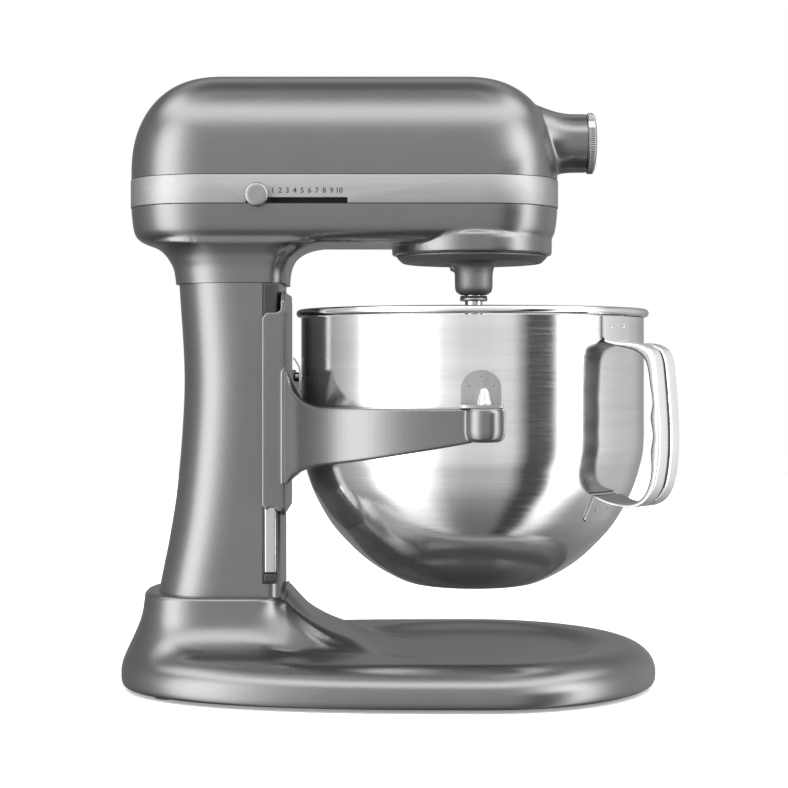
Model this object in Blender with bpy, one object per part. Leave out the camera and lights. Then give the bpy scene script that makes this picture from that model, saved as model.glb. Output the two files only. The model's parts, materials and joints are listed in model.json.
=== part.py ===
"""Bowl-lift stand mixer: stand, head with its gear train, planetary drive, lifting yoke and bowl.

The frame: +X towards the attachment hub, +Z up, the origin on the surface under the middle of the machine.
Lengths are in millimetres here and become metres, carried forwards by SHIFT, when a mesh is made.
"""

import math

import bmesh
import bpy
from mathutils import Matrix, Vector

MM = 0.001
GAP = 0.3  # clearance between neighbouring pieces
SHIFT = 2.59  # carries the design forwards, so that the origin is under the middle of the machine

# Driving dimensions
HEAD_BACK, HEAD_FRONT, HEAD_TOP = -182.2, 112.6, 418.0
HEAD_HALF_WIDTH = 54.0
CROWN_START, CROWN_RUN, CROWN_FLAT = 352.0, 58.0, 8.0
CROWN_POWER = 2.2
HEAD_END = 58.0  # length of each rounded end of the head, in plan
BAND_LOW, BAND_HIGH = 327.4, 346.5
TRAY_LOW = 302.0
WALL = 3.2

DRIVE_X = 53.5  # the planetary's, the bowl's and the main shaft's axis
HUB_Z = 373.3
HUB_RADIUS, HUB_END, HUB_CAP_END = 20.3, 132.0, 138.9
HUB_BORE = 15.0
COLLAR_RADIUS, COLLAR_LOW = 55.4, 295.0

COLUMN_FRONT = -77.0
BASE_BACK, BASE_FRONT, BASE_HALF_WIDTH = -187.6, 179.7, 122.0
PLATE_TOP, BASE_LOW = 28.5, 2.5
PLATE_MIDDLE = 58.0  # where the base's round front meets its squarer back
EDGE_REACH, EDGE_LOW = 22.0, 10.0
PEDESTAL_TOP = 64.5
DISH_RADIUS, DISH_DEPTH = 92.0, 5.0
FOOT_PLACES = ((125, 62), (125, -62), (-150, 62), (-150, -62))

BOWL_RADIUS, BOWL_WALL, RIM_TOP = 118.3, 1.2, 258.0
HANDLE_AZIMUTH, HANDLE_WIDTH = -40.5, 26.0
YOKE_INNER, YOKE_OUTER, YOKE_TOP, YOKE_POWER = 120.6, 133.0, 192.5, 2.6
YOKE_PLATE_FRONT = -74.2
PIN_REACH = 127.0
LEVER_X, LEVER_Z = -114.0, 158.0
KNOB_X, KNOB_Z = -92.0, 332.6
GLAND_PLACE = (-125.0, 46.6, 92.0)

BEATER_OFFSET = 27.0  # the beater shaft's distance from the planetary's axis
WHEEL_TEETH, PINION_TEETH = 24, 8  # every pair of gears turns three to one
RING_RADIUS = 1.5 * BEATER_OFFSET
BEVEL_RADIUS = 30.0
LAY_RADIUS = 22.5
MOTOR_RADIUS = 34.0

LOOKS = {
    "body_paint": ((0.33, 0.33, 0.34), 0.32, 0.75),
    "brushed_band": ((0.72, 0.72, 0.72), 0.35, 0.9),
    "bowl_steel": ((0.70, 0.70, 0.70), 0.25, 1.0),
    "bright_steel": ((0.80, 0.80, 0.80), 0.12, 1.0),
    "planetary_grey": ((0.42, 0.42, 0.43), 0.45, 0.8),
    "satin_aluminium": ((0.62, 0.62, 0.63), 0.35, 0.9),
    "gear_steel": ((0.45, 0.44, 0.42), 0.35, 1.0),
    "motor_steel": ((0.30, 0.30, 0.31), 0.5, 0.8),
    "winding": ((0.55, 0.25, 0.08), 0.4, 0.9),
    "black_plastic": ((0.02, 0.02, 0.02), 0.5, 0.0),
    "board_green": ((0.03, 0.16, 0.07), 0.5, 0.0),
    "foot_rubber": ((0.03, 0.03, 0.03), 0.8, 0.0),
}


def clear_scene():
    for old in list(bpy.data.objects):
        bpy.data.objects.remove(old, do_unlink=True)


def material_of(look):
    found = bpy.data.materials.get(look)
    if found:
        return found
    colour, roughness, metallic = LOOKS[look]
    made = bpy.data.materials.new(look)
    made.use_nodes = True
    shader = made.node_tree.nodes["Principled BSDF"]
    shader.inputs["Base Color"].default_value = (*colour, 1.0)
    shader.inputs["Roughness"].default_value = roughness
    shader.inputs["Metallic"].default_value = metallic
    return made


def piece(name, points, faces, look, origin=(0.0, 0.0, 0.0)):
    """An object from points in the mixer's frame, with its own origin at the given point."""
    mesh = bpy.data.meshes.new(name)
    centre = Vector(origin)
    mesh.from_pydata([(Vector(p) - centre) * MM for p in points], [], faces)
    shape = bmesh.new()
    shape.from_mesh(mesh)
    bmesh.ops.recalc_face_normals(shape, faces=shape.faces)
    if shape.calc_volume(signed=True) < 0:
        bmesh.ops.reverse_faces(shape, faces=shape.faces)
    shape.to_mesh(mesh)
    shape.free()
    mesh.shade_smooth()
    mesh.set_sharp_from_angle(angle=math.radians(35))
    mesh.materials.append(material_of(look))
    made = bpy.data.objects.new(name, mesh)
    made.location = (centre + Vector((SHIFT, 0, 0))) * MM
    bpy.context.scene.collection.objects.link(made)
    return made


def combine(target, other, operation):
    """Joins another solid to this one or cuts it away, and keeps that solid as a hidden guide."""
    other.hide_render = True
    other.display_type = "WIRE"
    step = target.modifiers.new(other.name, "BOOLEAN")
    step.operation = operation
    step.object = other
    return target


def cut(target, *others):
    for other in others:
        combine(target, other, "DIFFERENCE")


def join(target, *others):
    for other in others:
        combine(target, other, "UNION")


def loft(rings, closed=False):
    """Points and faces over rings of equal length; a row of rings that closes on itself needs no end faces."""
    count = len(rings[0])
    points = [p for ring in rings for p in ring]
    faces = []
    for i in range(len(rings) if closed else len(rings) - 1):
        low, high = i * count, (i + 1) % len(rings) * count
        for j in range(count):
            k = (j + 1) % count
            faces.append((low + j, low + k, high + k, high + j))
    if not closed:
        faces.append(tuple(range(count)))
        faces.append(tuple(range((len(rings) - 1) * count, len(rings) * count)))
    return points, faces


def turned(name, profile, look, centre, axis="Z", steps=32, loop=False):
    """A turned piece: the profile's points are (radius, height along the axis) from the centre."""
    basis = {
        "Z": Matrix.Identity(3),
        "X": Matrix(((0, 0, 1), (1, 0, 0), (0, 1, 0))),
        "Y": Matrix(((0, 1, 0), (0, 0, 1), (1, 0, 0))),
    }[axis]
    angles = [2 * math.pi * i / steps for i in range(steps)]
    rings = [
        [
            Vector(centre) + basis @ Vector((r * math.cos(a), r * math.sin(a), h))
            for a in angles
        ]
        for r, h in profile
    ]
    return piece(name, *loft(rings, closed=loop), look, origin=centre)


def rod(name, radius, low, high, look, centre, axis="Z", steps=24, bore=0.0):
    """A cylinder, or a tube where it has a bore, between two heights along its axis."""
    profile = [(radius, low), (radius, high)]
    if bore:
        profile += [(bore, high), (bore, low)]
    return turned(name, profile, look, centre, axis, steps, loop=bool(bore))


def block(name, low, high, look, bevel=0.0):
    """A box between two corners, with its upright and lying edges cut by a small bevel."""
    points = [
        (x, y, z) for x in (low[0], high[0]) for y in (low[1], high[1]) for z in (low[2], high[2])
    ]
    faces = [(0, 1, 3, 2), (4, 6, 7, 5), (0, 4, 5, 1), (2, 3, 7, 6), (0, 2, 6, 4), (1, 5, 7, 3)]
    made = piece(name, points, faces, look)
    if bevel:
        edge = made.modifiers.new("edges", "BEVEL")
        edge.width = bevel * MM
        edge.segments = 1
    return made


def prism(name, outline, low, high, look, plane="XZ", origin=(0.0, 0.0, 0.0)):
    """A flat outline carried straight between two places on the axis across its plane."""
    place = {
        "XZ": lambda u, v, w: (u, w, v),
        "XY": lambda u, v, w: (u, v, w),
        "YZ": lambda u, v, w: (w, u, v),
    }[plane]
    rings = [[place(u, v, w) for u, v in outline] for w in (low, high)]
    return piece(name, *loft(rings), look, origin=origin)


def stadium(
    back, front, half_width, end_back, end_front, z,
    power=2.2, count=32, side_back=None, side_front=None,
):
    """A level ring, its four corners rounded over the given lengths along X (end) and across Y (side)."""
    side_back = half_width if side_back is None else side_back
    side_front = half_width if side_front is None else side_front
    ring = []
    for i in range(count):
        angle = 2 * math.pi * (i + 0.5) / count
        c, s = math.cos(angle), math.sin(angle)
        along, across = 1 - abs(c) ** (2 / power), 1 - abs(s) ** (2 / power)
        x = front - end_front * along if c > 0 else back + end_back * along
        y = half_width - (side_front if c > 0 else side_back) * across
        ring.append((x, math.copysign(y, s), z))
    return ring


def curve_through(points, value):
    """Straight-line reading of a list of (key, result) pairs, keys rising."""
    for (k0, v0), (k1, v1) in zip(points, points[1:]):
        if value <= k1:
            share = (value - k0) / (k1 - k0)
            return v0 + (v1 - v0) * max(0.0, share)
    return points[-1][1]


# ---------------------------------------------------------------- head


def head_ring(inset, z, crown=0.0, **options):
    """The head's outline at a height, drawn in by the inset; crown is the angle up over its rounded top."""
    spread = math.cos(crown) ** (2 / CROWN_POWER) if crown < math.pi / 2 else 0.0
    half_length = (HEAD_FRONT - HEAD_BACK) / 2 - CROWN_RUN * (1 - spread) - inset
    half_width = CROWN_FLAT + (HEAD_HALF_WIDTH - CROWN_FLAT) * spread - inset
    middle = (HEAD_FRONT + HEAD_BACK) / 2
    end = max(HEAD_END * (half_width + inset) / HEAD_HALF_WIDTH - inset, 1.0)
    return stadium(
        middle - half_length, middle + half_length, half_width, end, end, z, **options
    )


def crown_rings(inset, bottom, steps):
    """Rings up the head's side and over its crown."""
    rings = [head_ring(inset, bottom)]
    for i in range(steps + 1):
        angle = math.pi / 2 * i / steps
        rise = math.sin(angle) ** (2 / CROWN_POWER)
        z = CROWN_START + (HEAD_TOP - inset - CROWN_START) * rise
        rings.append(head_ring(inset, z, crown=min(angle, math.radians(89.5))))
    return rings


def make_upper_housing():
    outer = crown_rings(0.0, BAND_HIGH + GAP, 7)
    inner = crown_rings(WALL, BAND_HIGH + GAP, 4)
    housing = piece("upper_housing", *loft(outer[::-1] + inner), "body_paint")
    barrel = [
        (25.5, 98.0), (23.0, 109.0), (20.9, 116.0), (HUB_RADIUS, 121.0), (HUB_RADIUS, HUB_END),
    ]
    join(housing, turned("hub_barrel", barrel, "body_paint", (0, 0, HUB_Z), "X", 28))
    bore = rod("hub_bore", HUB_BORE, 90.0, HUB_END + 5, "body_paint", (0, 0, HUB_Z), "X", 28)
    screw_hole = rod("hub_screw_hole", 3.3, 10.0, 30.0, "body_paint", (125.0, 0, HUB_Z), "Y", 12)
    cut(housing, bore, screw_hole)


def make_trim_band():
    proud = 0.5
    rings = [
        head_ring(-proud, BAND_LOW), head_ring(-proud, BAND_HIGH),
        head_ring(WALL, BAND_HIGH), head_ring(WALL, BAND_LOW),
    ]
    band = piece("trim_band", *loft(rings, closed=True), "brushed_band")
    cut(band, block("speed_slot", (-99, -60, 320), (-32, -40, 331.4), "brushed_band"))


def tray_rings(inset, steps):
    """Rings down the lower housing's side and round its bottom edge."""
    radius = 11.0
    rings = [head_ring(inset, BAND_LOW - GAP), head_ring(inset, TRAY_LOW + radius)]
    for i in range(1, steps + 1):
        angle = math.pi / 2 * i / steps
        drawn_in = inset + radius * (1 - math.cos(angle))
        z = TRAY_LOW + inset + (radius - inset) * (1 - math.sin(angle))
        rings.append(head_ring(drawn_in, z))
    return rings


NECK_BACK = ((275, -151.4), (285.8, -153.1), (290, -155.2), (294.1, -157.8), (298.3, -162), (303, -171))
NECK_FRONT = (
    (275, -74), (281.6, -73.6), (285.8, -72.9), (290, -71.5), (294.1, -68.7), (298.3, -62.5), (303, -50),
)
NECK_WIDTH = ((275, 43.5), (285, 44), (290, 45), (294, 46), (298.3, 47.5), (303, 48.5))


def neck_ring(z, inset=0.0):
    return stadium(
        curve_through(NECK_BACK, z) + inset, curve_through(NECK_FRONT, z) - inset,
        curve_through(NECK_WIDTH, z) - inset, 46 - inset, 16 - inset, z, power=2.3,
        side_front=16 - inset,
    )


def make_lower_housing():
    housing = piece("lower_housing", *loft(tray_rings(0.0, 3)), "body_paint")
    neck = [neck_ring(z) for z, _ in NECK_BACK] + [neck_ring(303, 4.0)]
    neck[-1] = [(x, y, 306.0) for x, y, _ in neck[-1]]
    join(housing, piece("neck", *loft(neck), "body_paint"))
    collar = [
        (COLLAR_RADIUS - 0.8, COLLAR_LOW), (COLLAR_RADIUS, COLLAR_LOW + 0.8), (COLLAR_RADIUS, 306.5),
        (54.0, 309.0), (50.0, 311.0),
    ]
    join(housing, turned("collar", collar, "body_paint", (DRIVE_X, 0, 0), steps=40))
    inside = tray_rings(WALL, 2)
    inside[0] = [(x, y, z + 5) for x, y, z in inside[0]]
    tray_space = piece("tray_space", *loft(inside), "body_paint")
    under_drive = (DRIVE_X, 0, 0)
    collar_space = rod("collar_space", 51.0, COLLAR_LOW - 5, 330.0, "body_paint", under_drive, steps=36)
    wiring = rod("neck_passage", 14.0, 260.0, 330.0, "body_paint", (-118, 0, 0), steps=16)
    cut(housing, tray_space, collar_space, wiring)


# ---------------------------------------------------------------- stand

COLUMN_BACK = (
    (65, -162.8), (82, -159.4), (99, -156), (130, -151), (174, -146.9), (215, -145.5), (274.6, -149),
)


def column_ring(z, inset=0.0, front_inset=0.0):
    half_width = 45 + 0.03 * max(0.0, 130 - z) - inset
    back = curve_through(COLUMN_BACK, z) + inset
    return stadium(
        back, COLUMN_FRONT - front_inset, half_width, 48 - inset, 12 - inset, z, power=2.4,
        side_front=12 - inset,
    )


def make_column():
    outer = [column_ring(z) for z, _ in COLUMN_BACK]
    inner = [column_ring(z, 6.0, 8.0) for z, _ in COLUMN_BACK[::2]]
    column = piece("column", *loft(outer + inner[::-1], closed=True), "body_paint")
    for side in (-1, 1):
        depth = sorted((side * 41.0, side * 60.0))
        cut(column, block(f"rail_groove_{side}", (-89.0, depth[0], 73), (-78.5, depth[1], 290), "body_paint"))
    cut(column, block("lift_slot", (-90, -9, 128), (-70, 9, 262), "body_paint"))
    cut(column, rod("gland_hole", 6.4, -20, 10, "body_paint", GLAND_PLACE, "Y", 14))
    cut(column, rod("lever_bore", 6.3, 20, 70, "body_paint", (LEVER_X, 0, LEVER_Z), "Y", 16))


BASE_POWER, PEDESTAL_MIDDLE, PEDESTAL_REACH = 2.7, -122.0, (50.5, 48.5)
PEDESTAL_HALF, PEDESTAL_SOFT = 54.0, (0.8, 0.44)


def base_outline(angle, inset=0.0):
    """A point of the base's plan: round in front, long and squarer behind."""
    c, s = math.cos(angle), math.sin(angle)
    power = 2.0 if c > 0 else BASE_POWER
    reach = (BASE_FRONT if c > 0 else -BASE_BACK) - inset + (-PLATE_MIDDLE if c > 0 else PLATE_MIDDLE)
    x = PLATE_MIDDLE + math.copysign(reach * abs(c) ** (2 / power), c)
    return Vector((x, math.copysign((BASE_HALF_WIDTH - inset) * abs(s) ** (2 / power), s)))


def pedestal_outline(angle, inset=0.0):
    """The matching point round the foot of the column."""
    c, s = math.cos(angle), math.sin(angle)
    reach, soft = PEDESTAL_REACH[c > 0], PEDESTAL_SOFT[c > 0]
    x = PEDESTAL_MIDDLE + math.copysign(reach - inset, c) * abs(c) ** soft
    return Vector((x, math.copysign(PEDESTAL_HALF - inset, s) * abs(s) ** soft))


def outside(place, middle, reach_back, reach_front, half, power_back, power_front):
    """How far a place lies outside a rounded plan, less than nought inside it."""
    u, v = place.x - middle, abs(place.y)
    reach, power = (reach_front, power_front) if u > 0 else (reach_back, power_back)
    a, b = abs(u) / reach, v / half
    size = max((a ** power + b ** power) ** (1 / power), 1e-6)
    slope = math.hypot((a / size) ** (power - 1) / reach, (b / size) ** (power - 1) / half)
    return (size - 1) / max(slope, 1e-6)


def eased(value, low, high):
    """Nought below the range, one above it, with soft ends."""
    t = min(1.0, max(0.0, (value - low) / (high - low)))
    return t * t * (3 - 2 * t)


def base_height(place):
    """The base's upper surface: a rounded edge, a plate with a shallow dish, and a flare up to the column."""
    from_edge = -outside(
        place, PLATE_MIDDLE, PLATE_MIDDLE - BASE_BACK, BASE_FRONT - PLATE_MIDDLE, BASE_HALF_WIDTH, BASE_POWER, 2.0
    )
    over = min(1.0, max(0.0, 1 - from_edge / EDGE_REACH))
    edge = EDGE_LOW + (PLATE_TOP - EDGE_LOW) * math.sqrt(1 - over * over)
    from_pedestal = max(0.0, outside(
        place, PEDESTAL_MIDDLE, *PEDESTAL_REACH, PEDESTAL_HALF, 2 / PEDESTAL_SOFT[0], 2 / PEDESTAL_SOFT[1]
    ))
    side = 0.75 * max(0.0, 1 - from_pedestal / 24) ** 2.6 + 0.25 * math.exp(-from_pedestal)
    ahead = max(0.0, place.x - PEDESTAL_MIDDLE - PEDESTAL_REACH[1])
    front = max(0.0, 1 - ahead / 110) ** 2 / (1 + ahead / 64)
    apron = (1 - eased(abs(place.y), 34, 62)) * eased(place.x, -110, -76)
    flare = (PEDESTAL_TOP - 3 - PLATE_TOP) * (side + (front - side) * apron)
    radius = (place - Vector((DRIVE_X, 0))).length
    dish = DISH_DEPTH * max(0.0, 1 - (radius / DISH_RADIUS) ** 2)
    return edge + flare - dish


def base_rings(inset, drop, shares, count=36):
    """Rings from the rim at the bottom, over the edge and the plate, up to the pedestal's lip."""
    angles = [2 * math.pi * (i + 0.5) / count for i in range(count)]
    rings = [[(*base_outline(angle, inset + 1.5), BASE_LOW) for angle in angles]]
    rings.append([(x, y, EDGE_LOW - drop) for x, y, _ in rings[0]])
    if not drop:
        rings[1] = [(*base_outline(angle), EDGE_LOW - 3) for angle in angles]
    for share in shares:
        ring = []
        for angle in angles:
            rim, foot = base_outline(angle, inset), pedestal_outline(angle, inset)
            place = rim.lerp(foot, share)
            ring.append((place.x, place.y, base_height(place) - drop))
        rings.append(ring)
    return rings


def make_base():
    outer = base_rings(0.0, 0.0, (0.0, 0.03, 0.09, 0.25, 0.5, 0.75, 0.9, 0.97, 1.0))
    lip = [(1.2, 1.8), (3.5, 3.0)]
    for inset, rise in lip:
        ring = [pedestal_outline(2 * math.pi * (i + 0.5) / 36, inset) for i in range(36)]
        outer.append([(p.x, p.y, PEDESTAL_TOP - 3 + rise) for p in ring])
    inner = base_rings(6.0, 6.0, (0.1, 0.45, 0.75, 0.9, 0.97, 1.0))
    base = piece("base", *loft(outer[::-1] + inner), "body_paint")
    for number, (x, y) in enumerate(FOOT_PLACES):
        join(base, rod(f"foot_boss_{number}", 12, 2.7, 21, "body_paint", (x, y, 0), steps=12))
    cut(base, rod("wire_passage", 12, 30, 90, "body_paint", (-125, 0, 0), steps=12))


def make_feet():
    for (x, y), name in zip(FOOT_PLACES, ("front_far", "front_near", "back_far", "back_near")):
        profile = [(8.5, 0.0), (9.5, 0.6), (9.5, 2.4)]
        turned(f"foot_{name}", profile, "foot_rubber", (x, y, 0), steps=14)


def make_rails():
    for side, name in ((-1, "near"), (1, "far")):
        low, high = sorted((side * 41.4, side * 46.4))
        block(f"guide_rail_{name}", (-87.5, low, 80.3), (-79.7, high, 252.5), "bright_steel", 0.8)
        block(f"rail_cap_{name}", (-88.2, low, 74), (-79.2, high, 80), "black_plastic", 0.8)
        block(f"lift_stop_{name}", (-88.2, low, 253), (-79.2, high, 274), "black_plastic", 0.8)


def make_cord_gland():
    profile = [(6.0, -7.0), (6.0, 0.5), (9.0, 0.5), (9.0, 3.5), (4.0, 3.5), (4.0, -7.0)]
    turned("cord_gland", profile, "black_plastic", GLAND_PLACE, "Y", 14, loop=True)


# ---------------------------------------------------------------- gears and drive

def tooth_angles(teeth, phase, root_share, tip_share):
    """For each tooth, its four corners as (angle, whether it is a tip)."""
    pitch = 2 * math.pi / teeth
    for tooth in range(teeth):
        middle = phase + tooth * pitch
        yield middle - root_share * pitch, False
        yield middle - tip_share * pitch, True
        yield middle + tip_share * pitch, True
        yield middle + root_share * pitch, False


def gear(name, teeth, radius, low, high, bore, centre, axis, phase, look="gear_steel"):
    """A spur gear round its axis, with straight-sided teeth."""
    module = 2 * radius / teeth
    root, tip = radius - 1.05 * module, radius + 0.8 * module
    ring = [
        ((tip if is_tip else root) * math.cos(a), (tip if is_tip else root) * math.sin(a))
        for a, is_tip in tooth_angles(teeth, phase, 0.31, 0.11)
    ]
    hole = [(bore * x / math.hypot(x, y), bore * y / math.hypot(x, y)) for x, y in ring]
    rows = [(hole, low), (ring, low), (ring, high), (hole, high)]
    return gear_from(name, rows, centre, axis, look)


def gear_from(name, rows, centre, axis, look="gear_steel"):
    place = {
        "Z": lambda u, v, w: Vector((u, v, w)),
        "X": lambda u, v, w: Vector((w, u, v)),
    }[axis]
    rings = [[Vector(centre) + place(x, y, height) for x, y in ring] for ring, height in rows]
    return piece(name, *loft(rings, closed=True), look, origin=centre)


def make_ring_gear():
    """The fixed ring round the planetary, its teeth pointing inwards."""
    module = 2 * RING_RADIUS / WHEEL_TEETH
    root, tip = RING_RADIUS + 1.05 * module, RING_RADIUS - 0.7 * module
    half_pitch = math.pi / WHEEL_TEETH
    ring = [
        ((tip if is_tip else root) * math.cos(a), (tip if is_tip else root) * math.sin(a))
        for a, is_tip in tooth_angles(WHEEL_TEETH, -math.pi / 2 + half_pitch, 0.30, 0.10)
    ]
    rim = [(50.6 * x / math.hypot(x, y), 50.6 * y / math.hypot(x, y)) for x, y in ring]
    rows = [(rim, 297.5), (ring, 297.5), (ring, 304.5), (rim, 304.5)]
    gear_from("ring_gear", rows, (DRIVE_X, 0, 0), "Z")


def bevel(name, teeth, radius, other_radius, bore, back, centre, turn, phase):
    """A bevel gear whose pitch cone's tip is at the centre; its axis is the local -Z, carried over by turn."""
    module = 2 * radius / teeth
    cone = math.atan2(radius, other_radius)
    up, out = math.sin(cone), math.cos(cone)
    ring = []
    for a, is_tip in tooth_angles(teeth, phase, 0.30, 0.11):
        rise = (0.75 if is_tip else -1.0) * module
        r, z = radius + rise * out, -other_radius + rise * up
        ring.append(Vector((r * math.cos(a), r * math.sin(a), z)))
    inner = [p * 0.72 for p in ring]
    level = [Vector((p.x, p.y, 0)).normalized() for p in ring]
    top = min(p.z for p in inner) + 0.2
    hole = [d * bore for d in level]
    rings = [
        [d + Vector((0, 0, top)) for d in hole], inner, ring,
        [d * (radius - 1.6 * module * out) + Vector((0, 0, -other_radius - back)) for d in level],
        [d + Vector((0, 0, -other_radius - back)) for d in hole],
    ]
    placed = [[Vector(centre) + turn @ p for p in one] for one in rings]
    return piece(name, *loft(placed, closed=True), "gear_steel", origin=centre)


def make_gear_train():
    apex = (DRIVE_X, 0, HUB_Z)
    half_pitch = math.pi / PINION_TEETH
    to_back = Matrix.Rotation(math.radians(90), 3, "Y")
    to_front = Matrix.Rotation(math.radians(-90), 3, "Y")
    pinion_radius = BEVEL_RADIUS / 3
    upright = Matrix.Identity(3)
    bevel("main_bevel_gear", WHEEL_TEETH, BEVEL_RADIUS, pinion_radius, 6.3, 5.0, apex, upright, 0)
    for name, turn in (("layshaft_bevel", to_back), ("hub_bevel", to_front)):
        bevel(name, PINION_TEETH, pinion_radius, BEVEL_RADIUS, 4.3, 4.0, apex, turn, half_pitch)
    lay_axis, motor_axis = (0, 0, HUB_Z), (0, 0, HUB_Z - LAY_RADIUS * 4 / 3)
    gear("lay_gear", WHEEL_TEETH, LAY_RADIUS, -52, -43, 4.3, lay_axis, "X", -math.pi / 2)
    to_wheel = math.pi / 2 + half_pitch
    gear("motor_pinion", PINION_TEETH, LAY_RADIUS / 3, -53, -42, 4.3, motor_axis, "X", to_wheel)
    gear(
        "planet_pinion", PINION_TEETH, RING_RADIUS / 3, 297.7, 304.3, 6.4,
        (DRIVE_X, -BEATER_OFFSET, 0), "Z", -math.pi / 2,
    )
    rod("layshaft", 4.0, -62, 30.5, "gear_steel", lay_axis, "X", 16)
    rod("motor_shaft", 4.0, -171, -38, "gear_steel", motor_axis, "X", 16)
    rod("main_shaft", 6.0, 296.2, 366, "gear_steel", (DRIVE_X, 0, 0), steps=16)


def make_motor():
    axis = (0, 0, HUB_Z - LAY_RADIUS * 4 / 3)
    rod("motor_can", MOTOR_RADIUS, -160, -85, "motor_steel", axis, "X", 24, bore=MOTOR_RADIUS - 3)
    rod("motor_back_cap", MOTOR_RADIUS, -164, -160.3, "motor_steel", axis, "X", 24, bore=4.4)
    rod("armature", 26, -150, -96, "winding", axis, "X", 20, bore=4.3)
    fan = rod("cooling_fan", 9, -78, -68, "black_plastic", axis, "X", 16, bore=4.3)
    for blade in range(6):
        angle = 2 * math.pi * blade / 6
        across = Vector((0, -math.sin(angle), math.cos(angle)))
        outward = Vector((0, math.cos(angle), math.sin(angle)))
        rings = []
        for reach in (7.0, 28.0):
            middle = Vector(axis) + outward * reach
            rings.append([
                middle + Vector((-77, 0, 0)) - across * 4, middle + Vector((-75.5, 0, 0)) - across * 4,
                middle + Vector((-69, 0, 0)) + across * 4, middle + Vector((-70.5, 0, 0)) + across * 4,
            ])
        join(fan, piece(f"fan_blade_{blade}", *loft(rings), "black_plastic"))


def make_gear_supports():
    rod("bearing_plate", 50.5, 305, 309, "motor_steel", (DRIVE_X, 0, 0), steps=28, bore=6.4)
    front = block("layshaft_support", (-5, -20, 309.3), (3, 20, 386), "motor_steel", 1.0)
    cut(front, rod("support_bore", 4.4, -10, 10, "motor_steel", (0, 0, HUB_Z), "X", 16))
    back = block("motor_support", (-64, -24, 306), (-57, 24, 386), "motor_steel", 1.0)
    for number, height in enumerate((HUB_Z, HUB_Z - LAY_RADIUS * 4 / 3)):
        cut(back, rod(f"back_bore_{number}", 4.4, -70, -50, "motor_steel", (0, 0, height), "X", 16))
    block("control_board", (-20, 44, 312), (30, 45.6, 345), "board_green", 0.5)


def make_planetary():
    disc = [(46.5, 289.6), (48.5, 290.2), (51.6, 293.6), (52.2, 294.6)]
    carrier = turned("planetary_carrier", disc, "planetary_grey", (DRIVE_X, 0, 0), steps=36)
    boss = [(8.5, 266.8), (11.2, 267.6), (12.7, 270.2), (12.9, 284), (14.2, 287.6), (17, 289.9), (17, 292)]
    at_boss = (DRIVE_X, -BEATER_OFFSET, 0)
    join(carrier, turned("boss", boss, "planetary_grey", at_boss, steps=20))
    cut(carrier, rod("boss_bore", 6.5, 250, 300, "planetary_grey", at_boss, steps=20))
    shaft = rod("beater_shaft", 6.0, 221.5, 304.6, "bright_steel", at_boss, steps=20)
    at_pin = (DRIVE_X, -BEATER_OFFSET, 233)
    cut(shaft, rod("pin_hole", 2.3, -20, 20, "bright_steel", at_pin, "X", 10))
    rod("beater_pin", 2.0, -11, 11, "bright_steel", at_pin, "X", 10)
    rod("beater_washer", 9.4, 262.8, 266.4, "bright_steel", at_boss, steps=24, bore=6.3)


def make_hub():
    axis = (0, 0, HUB_Z)
    socket = rod("hub_socket", 12.0, 100, 121, "gear_steel", axis, "X", 24)
    join(socket, rod("hub_shaft", 4.0, 75, 102, "gear_steel", axis, "X", 16))
    side = 4.6
    cut(socket, block("hub_square", (105, -side, HUB_Z - side), (130, side, HUB_Z + side), "gear_steel"))
    rod("hub_bearing", 14.6, 90, 96, "bright_steel", axis, "X", 24, bore=4.3)
    profile = [
        (14.5, 125.5), (14.5, HUB_END + GAP), (20.3, HUB_END + GAP), (20.9, 133.2), (20.9, 137.4),
        (19.4, 138.6), (17.0, HUB_CAP_END), (4.0, HUB_CAP_END),
    ]
    turned("hub_cap", profile, "satin_aluminium", axis, "X", 24)
    screw = [(3.0, 15.5), (3.0, 23.0), (8.0, 23.0), (9.5, 24.0), (9.5, 33.0), (8.5, 34.0)]
    turned("hub_screw", screw, "black_plastic", (125.0, 0, HUB_Z), "Y", 14)


def make_speed_control():
    face = -(HEAD_HALF_WIDTH + 0.5)
    profile = [
        (3.0, face - 0.8), (7.8, face - 0.8), (8.0, face - 5.2), (7.0, face - 6.4), (4.0, face - 7.0),
    ]
    turned("speed_knob", profile, "satin_aluminium", (KNOB_X, 0, KNOB_Z), "Y", 24)
    outline = [(-2.5, 328.3), (2.5, 328.3), (2.5, 330.6), (-2.5, 330.6)]
    points = [(KNOB_X + u, v) for u, v in outline]
    lever = prism("speed_lever", points, face - 0.4, -46.0, "black_plastic")
    join(lever, block("lever_slider", (KNOB_X - 9, -48, 322), (KNOB_X + 9, -45.5, 341), "black_plastic"))


# ---------------------------------------------------------------- yoke and lever


def yoke_station(angle):
    """The yoke's section where the given bearing from the bowl's axis crosses it, as (radius, height) corners."""
    c, s = math.cos(angle), math.sin(angle)
    squarer = (abs(c) ** YOKE_POWER + abs(s) ** YOKE_POWER) ** (-1 / YOKE_POWER)
    inner, outer = YOKE_INNER * squarer, YOKE_OUTER * squarer
    if c < -0.1:
        outer = min(outer, (DRIVE_X - COLUMN_FRONT - 0.6) / -c)
    x = DRIVE_X + outer * c
    root = max(0.0, -48 - x) if x > -72 else 24.0
    fillet = 24 - math.sqrt(max(0.0, 24 ** 2 - root ** 2))
    low = 173 - 21 * min(1.0, max(0.0, (55 - x) / 127)) ** 0.9
    bevel = 1.8
    return (
        (inner + bevel, low), (outer - bevel, low - fillet * 0.5), (outer, low + bevel - fillet * 0.5),
        (outer, YOKE_TOP - bevel + fillet), (outer - bevel, YOKE_TOP + fillet),
        (inner + bevel, YOKE_TOP), (inner, YOKE_TOP - bevel), (inner, low + bevel),
    )


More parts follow.
